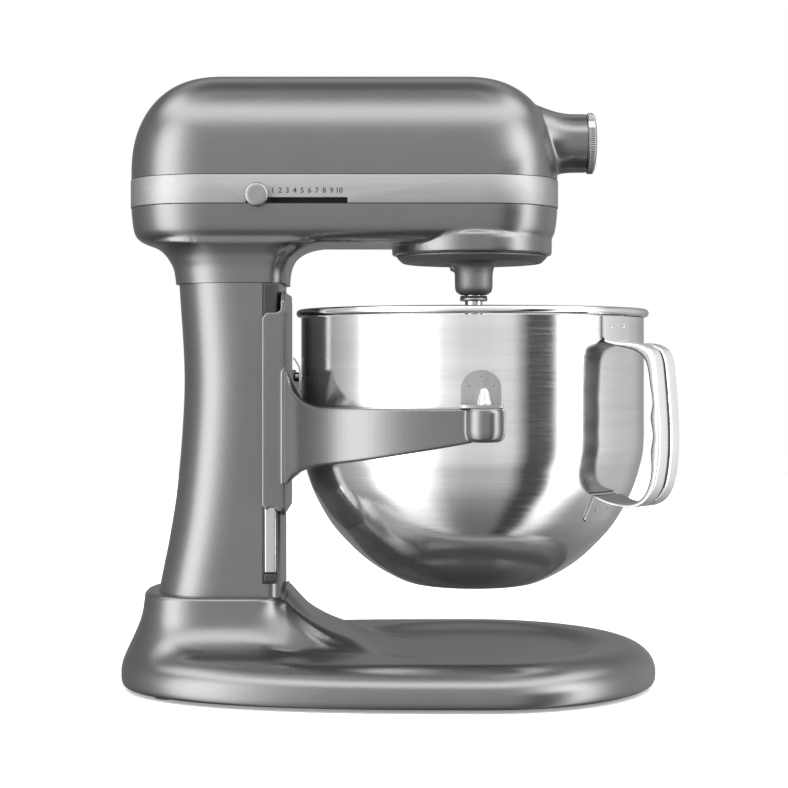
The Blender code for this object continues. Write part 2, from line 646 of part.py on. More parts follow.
def make_yoke():
    rings = []
    for i in range(25):
        angle = math.radians(90 + 7.5 * i)
        rings.append([
            (DRIVE_X + r * math.cos(angle), r * math.sin(angle), z) for r, z in yoke_station(angle)
        ])
    yoke = piece("bowl_yoke", *loft(rings), "body_paint")
    back = COLUMN_FRONT + 0.4
    plate = [(51, 124), (51, 262), (45, 269), (-45, 269), (-51, 262), (-51, 124), (-46, 119), (46, 119)]
    join(yoke, prism("yoke_plate", plate, back, YOKE_PLATE_FRONT, "body_paint", plane="YZ"))
    flange = [
        (-75.5, 122), (-75.5, 256), (-77.7, 252.8), (-86, 252.8),
        (-89, 249), (-89, 127), (-86, 123), (-77.7, 123),
    ]
    for side in (-1, 1):
        low, high = sorted((side * 46.8, side * 51))
        join(yoke, prism(f"yoke_flange_{side}", flange, low, high, "body_paint"))
        end = (DRIVE_X + 1.5, side * PIN_REACH, 0)
        boss = [(9.5, 172.5), (12.3, 174.2), (13, 177), (13, 190.6), (12, YOKE_TOP)]
        join(yoke, turned(f"pin_boss_{side}", boss, "body_paint", end, steps=24))
    clear_of_bowl = YOKE_INNER - 0.7
    cut(yoke, rod("clearance", clear_of_bowl, 150, 300, "body_paint", (DRIVE_X, 0, 0), steps=48))
    for side, name in ((-1, "near"), (1, "far")):
        pin = [(4.3, 192.8), (4.3, 196.0), (2.6, 203.5), (1.4, 205)]
        turned(f"yoke_pin_{name}", pin, "bright_steel", (DRIVE_X + 1.5, side * PIN_REACH, 0), steps=16)
    block("lift_bracket", (-100, -7, 186), (back - GAP, 7, 206), "motor_steel", 1.0)


def make_lift_lever():
    shaft = rod("lift_shaft", 6.0, -6, 58.5, "gear_steel", (LEVER_X, 0, LEVER_Z), "Y", 16)
    crank = [(LEVER_X + u, LEVER_Z + v) for u, v in ((-7, -8), (7, -8), (5, 21), (-5, 21))]
    join(shaft, prism("crank", crank, 9, 15, "gear_steel"))
    outline = [(-9, -7), (-4, -11), (4, -11), (9, -7), (9, 6), (6, 72), (-6, 72), (-9, 6)]
    outline = [(LEVER_X + u, LEVER_Z + v) for u, v in outline]
    pivot = (LEVER_X, 0, LEVER_Z)
    arm = prism("lift_lever", outline, 50.5, 57, "satin_aluminium", origin=pivot)
    cut(arm, rod("lever_eye", 6.3, 40, 70, "satin_aluminium", (LEVER_X, 0, LEVER_Z), "Y", 16))
    grip = [(5.5, 57.3), (9.5, 58.5), (10.5, 66), (10.0, 80), (8.0, 83.5)]
    turned("lever_grip", grip, "black_plastic", (LEVER_X, 0, LEVER_Z + 62), "Y", 16)


# ---------------------------------------------------------------- bowl

BOWL_CURVE = (
    (36, 68.4), (47, 70.6), (61, 77.4), (74.4, 86.5), (86, 97.3), (96.5, 109.2), (104.5, 122),
    (111.2, 136), (115.4, 150), (BOWL_RADIUS, 170),
)


def bowl_radius(z):
    """The bowl's outer radius at a height."""
    return curve_through([(h, r) for r, h in BOWL_CURVE], z)


def make_bowl():
    rim = [
        (BOWL_RADIUS, 252.8), (121.4, 254.6), (121.2, 257), (119, RIM_TOP), (BOWL_RADIUS - BOWL_WALL, 256.6),
    ]
    inner = [(r - BOWL_WALL, z + 0.4 + 0.8 * (r < 60)) for r, z in BOWL_CURVE[::-1]]
    turned("bowl", list(BOWL_CURVE) + rim + inner, "bowl_steel", (DRIVE_X, 0, 0), steps=36)


def wall_patch(name, columns, azimuth, thickness, look, rows=1, lift=GAP):
    """A plate bent to the bowl's wall; each column is (length round the wall, lowest, highest height)."""
    rings = []
    for along, low, high in columns:
        angle = math.radians(azimuth) + along / BOWL_RADIUS
        heights = [low + (high - low) * i / rows for i in range(rows + 1)]
        line = [(lift, z) for z in heights] + [(lift + thickness, z) for z in heights[::-1]]
        ring = []
        for depth, z in line:
            reach = bowl_radius(z) + depth
            ring.append((DRIVE_X + reach * math.cos(angle), reach * math.sin(angle), z))
        rings.append(ring)
    return piece(name, *loft(rings), look)


def make_side_brackets():
    half = 12.5
    turns = [math.pi * i / 8 for i in range(9)]
    columns = [(-half * math.cos(a), 193.2, 203.5 + half * math.sin(a)) for a in turns]
    for side, name in ((-1, "near"), (1, "far")):
        plate = wall_patch(f"side_bracket_{name}", columns, side * 90, 1.5, "bowl_steel")
        ledge = [
            (12.5, 118.9), (12.5, 131), (8.5, 135), (-8.5, 135), (-12.5, 131), (-12.5, 118.9),
        ]
        outline = [(DRIVE_X + u, side * v) for u, v in ledge]
        join(plate, prism(f"ledge_{name}", outline, 193.0, 195.2, "bowl_steel", plane="XY"))
        at_pin = (DRIVE_X + 1.5, side * PIN_REACH, 0)
        cut(plate, rod(f"pin_hole_{name}", 5.0, 190, 200, "bowl_steel", at_pin, steps=16))


# From the top plate round to the bottom one: the inner face, then the outer, as (radius, height)
HANDLE_PATH = (
    ((120.6, 231.6), (120.6, 233.6)), ((131.8, 230.8), (131.8, 233.6)), ((144.0, 226.6), (145.8, 233.0)),
    ((149.8, 218.0), (153.6, 226.8)), ((151.6, 206.0), (156.4, 211.0)), ((153.4, 196.0), (158.0, 196.0)),
    ((151.8, 185.5), (158.8, 184.0)), ((153.4, 175.5), (159.2, 173.0)), ((151.8, 165.5), (158.8, 161.8)),
    ((152.0, 152.0), (156.8, 149.2)), ((148.8, 140.4), (152.6, 138.0)), ((141.8, 133.0), (144.2, 130.2)),
    ((129.0, 131.4), (129.0, 128.8)), ((115.8, 134.4), (114.4, 132.2)),
)


def make_handle():
    half = 15.0
    top = [(a, 236 + 4 * (abs(a) > 13), 252) for a in (-half, -11, 0, 11, half)]
    wall_patch("handle_plate_top", top, HANDLE_AZIMUTH, 1.5, "bright_steel")
    foot = [(a, 118.5, 135.5 - 3 * (abs(a) > 13)) for a in (-half, -11, 0, 11, half)]
    wall_patch("handle_plate_bottom", foot, HANDLE_AZIMUTH, 1.5, "bright_steel", rows=3)
    turn = math.radians(HANDLE_AZIMUTH)
    out, across = Vector((math.cos(turn), math.sin(turn), 0)), Vector((-math.sin(turn), math.cos(turn), 0))
    axis = Vector((DRIVE_X, 0, 0))
    rings = []
    for inner, outer in HANDLE_PATH:
        ends = [axis + out * r + Vector((0, 0, z)) for r, z in (inner, outer)]
        edge, middle = across * HANDLE_WIDTH / 2, ends[0].lerp(ends[1], 0.5)
        rings.append([
            ends[0] - edge * 0.9, ends[0] + edge * 0.9, middle + edge,
            ends[1] + edge * 0.85, ends[1] - edge * 0.85, middle - edge,
        ])
    piece("bowl_handle", *loft(rings), "bright_steel")


def make_back_clip():
    clip = [(-7, 199, 218), (0, 199, 218), (7, 199, 218)]
    plate = wall_patch("back_clip", clip, 180, 1.2, "bright_steel")
    profile = [(3.0, -1.0), (3.2, -3.0), (3.2, -5.2), (2.0, -5.8)]
    join(plate, turned("clip_rivet", profile, "bright_steel", (DRIVE_X - BOWL_RADIUS, 0, 211.2), "X", 12))


def main():
    clear_scene()
    make_base()
    make_feet()
    make_column()
    make_rails()
    make_lower_housing()
    make_trim_band()
    make_upper_housing()
    make_cord_gland()
    make_ring_gear()
    make_gear_train()
    make_motor()
    make_gear_supports()
    make_planetary()
    make_hub()
    make_speed_control()
    make_yoke()
    make_lift_lever()
    make_bowl()
    make_side_brackets()
    make_handle()
    make_back_clip()


main()
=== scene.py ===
"""Looks of a bowl-lift stand mixer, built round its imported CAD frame.

Lengths in the helpers are millimetres of the design; place() carries them to metres in the frame.
"""

import json
from math import copysign, cos, exp, hypot, pi, radians, sin, sqrt, tau

import bmesh
import bpy
from mathutils import Matrix, Vector

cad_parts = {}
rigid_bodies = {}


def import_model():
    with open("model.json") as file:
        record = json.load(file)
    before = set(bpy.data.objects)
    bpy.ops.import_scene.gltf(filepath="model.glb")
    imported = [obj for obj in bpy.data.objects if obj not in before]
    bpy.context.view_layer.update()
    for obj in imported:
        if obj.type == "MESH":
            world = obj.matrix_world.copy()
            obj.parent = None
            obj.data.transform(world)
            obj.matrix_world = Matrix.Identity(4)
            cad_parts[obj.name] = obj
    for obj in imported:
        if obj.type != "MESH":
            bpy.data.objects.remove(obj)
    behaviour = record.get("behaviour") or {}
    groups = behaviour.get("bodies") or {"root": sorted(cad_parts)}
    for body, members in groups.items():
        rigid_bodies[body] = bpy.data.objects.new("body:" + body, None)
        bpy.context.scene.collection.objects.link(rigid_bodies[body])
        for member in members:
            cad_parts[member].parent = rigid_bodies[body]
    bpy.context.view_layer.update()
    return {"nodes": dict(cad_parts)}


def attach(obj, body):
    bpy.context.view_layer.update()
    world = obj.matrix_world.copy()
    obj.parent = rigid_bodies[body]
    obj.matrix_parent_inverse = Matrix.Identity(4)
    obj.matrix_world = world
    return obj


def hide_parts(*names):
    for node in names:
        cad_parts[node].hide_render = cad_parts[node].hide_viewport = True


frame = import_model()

MM = 0.001
SHIFT = 2.59  # the design's X zero lies this far in front of the frame's origin

HEAD_BACK, HEAD_FRONT, HEAD_TOP = -182.2, 112.6, 418.0
HEAD_HALF_WIDTH = 54.0
CROWN_START, CROWN_RUN, CROWN_FLAT = 352.0, 58.0, 8.0
CROWN_POWER = 2.2
HEAD_END = 58.0
BAND_LOW, BAND_HIGH = 327.4, 346.5
DRIVE_X = 53.5
ON_DRIVE = (DRIVE_X, 0, 0)
HUB_Z = 373.3
HUB_RADIUS, HUB_END, HUB_CAP_END = 20.3, 132.0, 138.9
COLLAR_RADIUS, COLLAR_LOW = 55.4, 295.0
COLUMN_FRONT = -77.0
BASE_BACK, BASE_FRONT, BASE_HALF_WIDTH = -187.6, 179.7, 122.0
PLATE_TOP, BASE_LOW, PLATE_MIDDLE = 28.5, 2.5, 58.0
BOWL_RADIUS, BEAD_RADIUS = 118.3, 2.75
YOKE_INNER, YOKE_OUTER, YOKE_TOP, YOKE_POWER = 120.6, 133.0, 192.5, 2.6
PIN_REACH = 127.0
BEATER_OFFSET = 27.0
SIDES = {-1: "near", 1: "far"}


# ---- shapes


def place(point):
    """A design point in millimetres, as metres in the frame."""
    x, y, z = point
    return Vector(((x + SHIFT) * MM, y * MM, z * MM))


def add_object(name, data):
    made = bpy.data.objects.new(name, data)
    bpy.context.scene.collection.objects.link(made)
    return made


def evaluated_mesh(source):
    """A new mesh of an object with its modifiers applied."""
    bpy.context.view_layer.update()
    graph = bpy.context.evaluated_depsgraph_get()
    return bpy.data.meshes.new_from_object(source.evaluated_get(graph))


def piece(name, points, faces, look, sharp=38.0):
    """A mesh object from design points, facing out, smooth up to the given angle."""
    mesh = bpy.data.meshes.new(name)
    mesh.from_pydata([place(p) for p in points], [], faces)
    shape = bmesh.new()
    shape.from_mesh(mesh)
    bmesh.ops.remove_doubles(shape, verts=shape.verts, dist=1e-7)
    bmesh.ops.recalc_face_normals(shape, faces=shape.faces)
    if shape.calc_volume(signed=True) < 0:
        bmesh.ops.reverse_faces(shape, faces=shape.faces)
    shape.to_mesh(mesh)
    shape.free()
    mesh.materials.append(look)
    return sharpen(add_object(name, mesh), sharp)


def finish(made, body, slot, *nodes):
    """Ties a piece to its body and hides the CAD nodes it stands in for; slot is not used."""
    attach(made, body)
    if nodes:
        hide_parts(*nodes)
    return made


def loft(rings, closed=False):
    """Points and faces over rings of equal length."""
    count = len(rings[0])
    points = [p for ring in rings for p in ring]
    faces = []
    for i in range(len(rings) if closed else len(rings) - 1):
        low, high = i * count, (i + 1) % len(rings) * count
        for j in range(count):
            k = (j + 1) % count
            faces.append((low + j, low + k, high + k, high + j))
    if not closed:
        faces.append(tuple(range(count)))
        faces.append(tuple(range((len(rings) - 1) * count, len(rings) * count)))
    return points, faces


BASES = {
    "Z": Matrix.Identity(3),
    "X": Matrix(((0, 0, 1), (1, 0, 0), (0, 1, 0))),
    "Y": Matrix(((0, 1, 0), (0, 0, 1), (1, 0, 0))),
}


def full_turn(count, start=0.0):
    """Evenly spaced angles once round; start is a share of one step."""
    return [tau * (i + start) / count for i in range(count)]


def turned(name, profile, look, centre, axis="Z", steps=96, loop=False, ripple=None, sharp=38.0):
    """A turned piece; ripple may change a radius by (profile index, angle, radius)."""
    basis, centre = BASES[axis], Vector(centre)
    rings = []
    for index, (r, h) in enumerate(profile):
        reaches = [(a, ripple(index, a, r) if ripple else r) for a in full_turn(steps)]
        rings.append([centre + basis @ Vector((reach * cos(a), reach * sin(a), h)) for a, reach in reaches])
    return piece(name, *loft(rings, closed=loop), look, sharp=sharp)


def rounded(profile, radius, segments=4):
    """A profile's inner corners replaced by small arcs of about the given radius."""
    points = [Vector(p) for p in profile]
    result = [points[0]]
    for before, corner, after in zip(points, points[1:], points[2:]):
        back, ahead = before - corner, after - corner
        reach = min(radius, back.length * 0.45, ahead.length * 0.45)
        start, end = corner + back.normalized() * reach, corner + ahead.normalized() * reach
        for i in range(segments + 1):
            t = i / segments
            result.append(start.lerp(corner, t).lerp(corner.lerp(end, t), t))
    result.append(points[-1])
    return [tuple(p) for p in result]


def combine(operation, target, others):
    """Applies Booleans with other solids, which are then removed."""
    for other in others:
        step = target.modifiers.new("combine", "BOOLEAN")
        step.operation = operation
        step.object = other
        result = evaluated_mesh(target)
        target.modifiers.remove(step)
        target.data = result
        bpy.data.objects.remove(other, do_unlink=True)
    return target


def cut(target, *others):
    return combine("DIFFERENCE", target, others)


def join(target, *others):
    return combine("UNION", target, others)


def sharpen(target, angle=38.0):
    target.data.shade_smooth()
    target.data.set_sharp_from_angle(angle=radians(angle))
    return target


def merge(name, *parts):
    """Several pieces as one object, without changing their shapes."""
    shape = bmesh.new()
    for part in parts:
        shape.from_mesh(part.data)
    mesh = bpy.data.meshes.new(name)
    shape.to_mesh(mesh)
    shape.free()
    mesh.materials.append(parts[0].data.materials[0])
    made = add_object(name, mesh)
    for part in parts:
        bpy.data.objects.remove(part, do_unlink=True)
    return sharpen(made)


def edges(target, width, segments=3, angle=35.0):
    """Rounds a piece's sharp edges, in millimetres."""
    step = target.modifiers.new("edges", "BEVEL")
    step.width = width * MM
    step.segments = segments
    step.limit_method = "ANGLE"
    step.angle_limit = radians(angle)
    return target


def box_points(low, high):
    return [(x, y, z) for x in (low[0], high[0]) for y in (low[1], high[1]) for z in (low[2], high[2])]


BOX_FACES = [(0, 1, 3, 2), (4, 6, 7, 5), (0, 4, 5, 1), (2, 3, 7, 6), (0, 2, 6, 4), (1, 5, 7, 3)]


def block(name, low, high, look, bevel=0.0):
    made = piece(name, box_points(low, high), BOX_FACES, look)
    return edges(made, bevel) if bevel else made


def stadium(back, front, half_width, end_back, end_front, z, power=2.2, count=160, side_front=None):
    """A level ring, its four corners rounded over the given lengths along X (end) and across Y (side)."""
    side_front = half_width if side_front is None else side_front
    ring = []
    for angle in full_turn(count, 0.5):
        c, s = cos(angle), sin(angle)
        along, across = 1 - abs(c) ** (2 / power), 1 - abs(s) ** (2 / power)
        x = front - end_front * along if c > 0 else back + end_back * along
        y = half_width - (side_front if c > 0 else half_width) * across
        ring.append((x, copysign(y, s), z))
    return ring


def curve_through(points, value):
    """A smooth reading of a list of (key, result) pairs, keys rising."""
    keys = [k for k, _ in points]
    if value <= keys[0]:
        return points[0][1]
    if value >= keys[-1]:
        return points[-1][1]
    i = max(n for n, k in enumerate(keys) if k <= value)

    def slope(n):
        low, high = max(n - 1, 0), min(n + 1, len(points) - 1)
        return (points[high][1] - points[low][1]) / (points[high][0] - points[low][0])

    (k0, v0), (k1, v1) = points[i], points[i + 1]
    span = k1 - k0
    t = (value - k0) / span
    leaving, coming = slope(i) * span, slope(i + 1) * span
    ease = 3 * t**2 - 2 * t**3
    return (1 - ease) * v0 + (t**3 - 2 * t**2 + t) * leaving + ease * v1 + (t**3 - t**2) * coming


# ---- materials


def node(tree, kind, **settings):
    made = tree.nodes.new(kind)
    for key, value in settings.items():
        if key in made.inputs:
            made.inputs[key].default_value = value
        else:
            setattr(made, key, value)
    return made


def link(source, target):
    target.id_data.links.new(source, target)


def coordinates(tree, scale=(1, 1, 1), rotation=(0.0, 0.0, 0.0)):
    """Object coordinates, stretched: a large number along an axis gives fine detail across it."""
    mapping = node(tree, "ShaderNodeMapping", Scale=scale, Rotation=rotation)
    link(node(tree, "ShaderNodeTexCoord").outputs["Object"], mapping.inputs["Vector"])
    return mapping.outputs["Vector"]


def texture(kind, vector, output="Fac", **settings):
    made = node(vector.id_data, "ShaderNodeTex" + kind, **settings)
    link(vector, made.inputs["Vector"])
    return made.outputs[output]


def noise(vector, scale, detail=4.0, roughness=0.55):
    return texture("Noise", vector, Scale=scale, Detail=detail, Roughness=roughness)


def ramp(value, low, high, start=0.0, end=1.0):
    """A value from one range carried to another, clamped."""
    made = node(value.id_data, "ShaderNodeMapRange")
    for key, setting in (("From Min", low), ("From Max", high), ("To Min", start), ("To Max", end)):
        made.inputs[key].default_value = setting
    link(value, made.inputs["Value"])
    return made.outputs["Result"]


def mix_colour(share, low, high):
    made = node(share.id_data, "ShaderNodeMix", data_type="RGBA")
    link(share, made.inputs["Factor"])
    for socket, colour in ((made.inputs["A"], low), (made.inputs["B"], high)):
        if isinstance(colour, tuple):
            socket.default_value = (*colour, 1.0)
        else:
            link(colour, socket)
    return made.outputs["Result"]


def bump(height, strength, distance):
    made = node(height.id_data, "ShaderNodeBump", Strength=strength, Distance=distance)
    link(height, made.inputs["Height"])
    return made.outputs["Normal"]


def dress(look, tone, roughness, normal=None):
    """Feeds a look's shader its colour, roughness and relief."""
    shader = look.node_tree.nodes["Principled BSDF"]
    for key, value in (("Base Color", tone), ("Roughness", roughness), ("Normal", normal)):
        if value is not None:
            link(value, shader.inputs[key])
    return look


def new_look(name, **inputs):
    made = bpy.data.materials.new(name)
    made.use_nodes = True
    shader = made.node_tree.nodes["Principled BSDF"]
    for key, value in inputs.items():
        shader.inputs[key.replace("_", " ")].default_value = value
    return made, made.node_tree


def metallic_paint():
    look, tree = new_look(
        "grey_metallic_paint", Metallic=0.86, Coat_Weight=0.35, Coat_Roughness=0.16, Coat_IOR=1.45
    )
    flakes = texture("Voronoi", coordinates(tree), "Color", Scale=2600.0)
    cloud = noise(coordinates(tree), 22.0, 3.0)
    tone = mix_colour(ramp(cloud, 0.3, 0.7), (0.128, 0.129, 0.131), (0.138, 0.139, 0.141))
    spots = mix_colour(ramp(flakes, 0.0, 1.0), tone, (0.155, 0.156, 0.158))
    peel = noise(coordinates(tree), 260.0, 2.0)
    return dress(look, spots, ramp(cloud, 0.25, 0.75, 0.26, 0.30), bump(peel, 0.025, 0.001))


def brushed_metal(name, colour, roughness, stretch, scale=1.0, depth=0.12, swing=0.10, metallic=1.0):
    """Metal with fine brush lines; the axis with the smallest stretch is the one the lines run along."""
    look, tree = new_look(name, Metallic=metallic)
    vector = coordinates(tree, stretch)
    fine = noise(vector, 1400.0 * scale, 3.0, 0.7)
    broad = noise(vector, 180.0 * scale, 4.0, 0.6)
    tone = mix_colour(ramp(broad, 0.3, 0.7), tuple(c * (1 - swing) for c in colour), colour)
    low, high = max(0.02, roughness - 0.05), roughness + 0.06
    return dress(look, tone, ramp(fine, 0.3, 0.7, low, high), bump(fine, depth, 0.0004))


def polished_steel(name, colour, roughness, metallic=1.0):
    """Nearly mirror-smooth steel with faint hairlines and smudges."""
    look, tree = new_look(name, Metallic=metallic)
    smudge = noise(coordinates(tree), 35.0, 5.0)
    hair = noise(coordinates(tree, (1.0, 1.0, 6.0)), 700.0, 2.0)
    tone = mix_colour(ramp(smudge, 0.3, 0.7), tuple(c * 0.96 for c in colour), colour)
    return dress(look, tone, ramp(smudge, 0.35, 0.7, roughness, roughness + 0.05), bump(hair, 0.02, 0.0003))


def cast_metal(name, colour, roughness, grain, depth):
    """Fine-grained cast or blasted metal."""
    look, tree = new_look(name, Metallic=0.9)
    fine = noise(coordinates(tree), grain, 4.0)
    broad = noise(coordinates(tree), 30.0, 3.0)
    tone = mix_colour(ramp(broad, 0.3, 0.7), tuple(c * 0.9 for c in colour), colour)
    gloss = ramp(fine, 0.3, 0.7, roughness - 0.04, roughness + 0.06)
    return dress(look, tone, gloss, bump(fine, depth, 0.0004))


def moulded(name, colour, roughness, grain=900.0, depth=0.12):
    """Plastic or rubber with a fine moulded grain."""
    look, tree = new_look(name)
    fine = noise(coordinates(tree), grain, 3.0)
    dust = noise(coordinates(tree), 45.0, 4.0)
    tone = mix_colour(ramp(dust, 0.35, 0.75), colour, tuple(c * 1.25 + 0.003 for c in colour))
    gloss = ramp(fine, 0.3, 0.7, roughness - 0.05, roughness + 0.05)
    return dress(look, tone, gloss, bump(fine, depth, 0.0003))


def copper_winding():
    """Enamelled copper wire laid along the motor's axis."""
    look, tree = new_look("copper_winding", Metallic=0.85, Coat_Weight=0.4, Coat_Roughness=0.2)
    lay = dict(Scale=260.0, Distortion=1.5, Detail=2.0, bands_direction="Y")
    wires = texture("Wave", coordinates(tree), **lay)
    tone = mix_colour(wires, (0.20, 0.07, 0.025), (0.62, 0.27, 0.11))
    return dress(look, tone, ramp(wires, 0, 1, 0.5, 0.3), bump(wires, 0.5, 0.0006))


def circuit_board():
    look, tree = new_look("circuit_board", Coat_Weight=0.5)
    tracks = texture("Brick", coordinates(tree, rotation=(radians(90), 0, 0)), Scale=160.0)
    tone = mix_colour(tracks, (0.012, 0.09, 0.035), (0.05, 0.22, 0.09))
    return dress(look, tone, ramp(tracks, 0, 1, 0.35, 0.5))


def gear_metal():
    """Cut steel with a film of grease gathered in patches."""
    look, tree = new_look("greased_gear_steel", Metallic=0.95)
    film = noise(coordinates(tree), 60.0, 6.0)
    marks = noise(coordinates(tree, (1, 1, 8)), 500.0, 2.0)
    tone = mix_colour(ramp(film, 0.45, 0.65), (0.46, 0.45, 0.43), (0.30, 0.25, 0.17))
    return dress(look, tone, ramp(film, 0.4, 0.7, 0.36, 0.16), bump(marks, 0.15, 0.0004))


paint = metallic_paint()
band_metal = brushed_metal("brushed_band_metal", (0.30, 0.30, 0.30), 0.5, (0.02, 1.0, 1.0), 0.9)
bowl_metal = brushed_metal(
    "brushed_bowl_steel", (0.65, 0.65, 0.655), 0.115, (0.03, 0.03, 1.0), 0.8, 0.09, metallic=0.955
)
rim_metal = polished_steel("polished_rim_steel", (0.72, 0.72, 0.725), 0.10)
handle_metal = polished_steel("polished_handle_steel", (0.74, 0.74, 0.745), 0.13, 0.9)
# A lighter copy of the handle steel for the handle's face is painted light; a darker copy for its inner edges
# is painted shade.
handle_face_painted_light = polished_steel("handle_face_painted_light_steel", (0.82, 0.82, 0.823), 0.2, 0.86)
handle_inside_painted_shade = polished_steel("handle_inside_painted_shade_steel", (0.21, 0.21, 0.213), 0.34, 0.95)
bracket_metal = brushed_metal(
    "brushed_bracket_steel", (0.36, 0.36, 0.363), 0.34, (1.0, 1.0, 0.05), 0.8, 0.1, 0.12
)
rail_metal = brushed_metal("ground_rail_steel", (0.50, 0.50, 0.50), 0.22, (1.0, 1.0, 0.03), 0.8, 0.1, 0.12)
planetary_metal = cast_metal("planetary_grey_metal", (0.17, 0.17, 0.172), 0.50, 420.0, 0.05)
cap_metal = brushed_metal("satin_cap_metal", (0.26, 0.26, 0.262), 0.40, (0.05, 1.0, 1.0), 0.8, 0.12, 0.1)
knob_metal = cast_metal("satin_knob_metal", (0.27, 0.27, 0.273), 0.34, 600.0, 0.04)
lever_metal = cast_metal("satin_lever_metal", (0.55, 0.55, 0.555), 0.32, 500.0, 0.06)
motor_metal = brushed_metal("motor_shell_steel", (0.30, 0.30, 0.31), 0.42, (1.0, 0.05, 0.05), 0.5, 0.2, 0.2)
gear_look = gear_metal()
winding_look = copper_winding()
board_look = circuit_board()
black_look = moulded("black_plastic_grain", (0.012, 0.012, 0.013), 0.42)
# Black for the band's joints, the seal and the slot liner, and also laid as painted shade in the handle's seam
# and the dimples.
seam_and_shade_look = moulded("black_gasket_and_painted_shade", (0.006, 0.006, 0.006), 0.6)
rubber_look = moulded("black_foot_rubber", (0.018, 0.018, 0.018), 0.75, 500.0, 0.3)
print_look = moulded("dark_grey_print", (0.02, 0.02, 0.021), 0.5, 300.0, 0.05)


# ---- head


def blend(target, cell, rounds):
    """Melts joined shapes into one skin with soft fillets, as in a casting."""
    remesh = target.modifiers.new("skin", "REMESH")
    remesh.mode = "VOXEL"
    remesh.voxel_size = cell * MM * 1.0
    smooth = target.modifiers.new("soften", "SMOOTH")
    smooth.factor = 0.5
    smooth.iterations = rounds
    look, result = target.data.materials[0], evaluated_mesh(target)
    target.modifiers.clear()
    target.data = result
    if not result.materials:
        result.materials.append(look)
    return target


def head_ring(inset, z, crown=0.0):
    """The head's outline at a height; crown is the angle up over its rounded top."""
    spread = cos(crown) ** (2 / CROWN_POWER) if crown < pi / 2 else 0.0
    half_length = (HEAD_FRONT - HEAD_BACK) / 2 - CROWN_RUN * (1 - spread) - inset
    half_width = CROWN_FLAT + (HEAD_HALF_WIDTH - CROWN_FLAT) * spread - inset
    middle = (HEAD_FRONT + HEAD_BACK) / 2
    end = max(HEAD_END * (half_width + inset) / HEAD_HALF_WIDTH - inset, 1.0)
    return stadium(middle - half_length, middle + half_length, half_width, end, end, z)


def crown_rings(inset, bottom, steps):
    rings = [head_ring(inset, bottom)]
    for i in range(steps + 1):
        angle = pi / 2 * i / steps
        rise = sin(angle) ** (2 / CROWN_POWER)
        z = CROWN_START + (HEAD_TOP - inset - CROWN_START) * rise
        rings.append(head_ring(inset, z, crown=min(angle, radians(89.5))))
    return rings


def make_upper_housing():
    housing = piece("head_cover", *loft(crown_rings(0.0, BAND_HIGH - 5.0, 30)), paint)
    barrel = [
        (31.0, 86.0), (27.5, 96.0), (24.4, 104.0), (22.3, 110.0), (21.0, 115.5), (HUB_RADIUS, 121.0),
        (HUB_RADIUS, HUB_END + 6.0),
    ]
    join(housing, turned("hub_neck", rounded(barrel, 6.0), paint, (0, 0, HUB_Z), "X", 96))
    blend(housing, 1.0, 9)
    cut(
        housing,
        block("above_band", (-250, -90, 300), (250, 90, BAND_HIGH + SEAM), paint),
        block("hub_face", (HUB_END, -60, 300), (HUB_END + 60, 60, 450), paint),
        piece("cover_inside", *loft(crown_rings(3.2, BAND_HIGH - 8.0, 16)), paint),
        turned("hub_bore", [(15, 90), (15, HUB_END + 9)], paint, (0, 0, HUB_Z), "X"),
        turned("screw_hole", [(3.4, 10), (3.4, 40)], paint, (125.0, 0, HUB_Z), "Y", 32),
    )
    edges(sharpen(housing, 50.0), 0.35, 2, 60.0)
    finish(housing, "stand", "body_paint", "upper_housing")
    lip = [(14.95, HUB_END - 8), (14.95, HUB_END + 0.1), (15.9, HUB_END + 0.1), (15.9, HUB_END - 8)]
    finish(
        turned("hub_lining", lip, cap_metal, (0, 0, HUB_Z), "X", loop=True), "stand", "satin_aluminium"
    )


def band_rings(low, high, inner, outer, soft):
    """A closed strip round the head, its outer edges softened."""
    return [
        head_ring(-outer + soft, low), head_ring(-outer + soft * 0.3, low + soft * 0.3),
        head_ring(-outer, low + soft), head_ring(-outer, high - soft),
        head_ring(-outer + soft * 0.3, high - soft * 0.3), head_ring(-outer + soft, high),
        head_ring(inner, high), head_ring(inner, low),
    ]


SEAM = 0.42  # the dark joint above and below the band
NUMBER_SIZE, NUMBER_STEP, FIRST_NUMBER_X, NUMBER_Z = 4.9, 4.9, -81.5, 334.1


def make_trim_band():
    rings = band_rings(BAND_LOW, BAND_HIGH, 3.0, 0.5, 0.35)
    band = piece("speed_band", *loft(rings, closed=True), band_metal)
    cut(band, block("slot", (-99.5, -60, 320), (-31.8, -40, 331.2), band_metal))
    finish(sharpen(band, 50.0), "stand", "brushed_band", "trim_band")
    for name, low in (("lower", BAND_LOW - SEAM + 0.02), ("upper", BAND_HIGH + 0.02)):
        gasket = band_rings(low, low + SEAM - 0.04, 2.6, -0.8, 0.02)
        finish(piece(f"band_gasket_{name}", *loft(gasket, closed=True), seam_and_shade_look), "stand", "black_plastic")
    for number in range(10):
        name = f"speed_number_{number + 1}"
        curve = bpy.data.curves.new(name, "FONT")
        curve.body = str(number + 1)
        curve.size = NUMBER_SIZE
        curve.extrude = 0.03
        curve.align_x = "CENTER"
        curve.offset = 0.1
        print_guide = add_object("print_guide", curve)
        mesh = evaluated_mesh(print_guide)
        bpy.data.objects.remove(print_guide, do_unlink=True)
        spot = place((FIRST_NUMBER_X + NUMBER_STEP * number, -(HEAD_HALF_WIDTH + 0.52), NUMBER_Z))
        upright = Matrix.Rotation(radians(90), 4, "X") @ Matrix.Scale(MM, 4)
        mesh.transform(Matrix.Translation(spot) @ upright)
        mesh.materials.clear()
        mesh.materials.append(print_look)
        finish(add_object(name, mesh), "stand", "black_plastic")


TRAY_EDGE = (
    (-6.0, 0.0), (0.3, 0.0), (3.0, 0.1), (8.4, 0.6), (14.4, 1.4), (17.9, 2.3), (20.9, 4.2), (23.2, 7.0),
    (24.8, 10.5), (25.4, 15.0), (25.4, 24.0),
)  # (depth below the band, inset) of the lower housing's wall and rounded edge

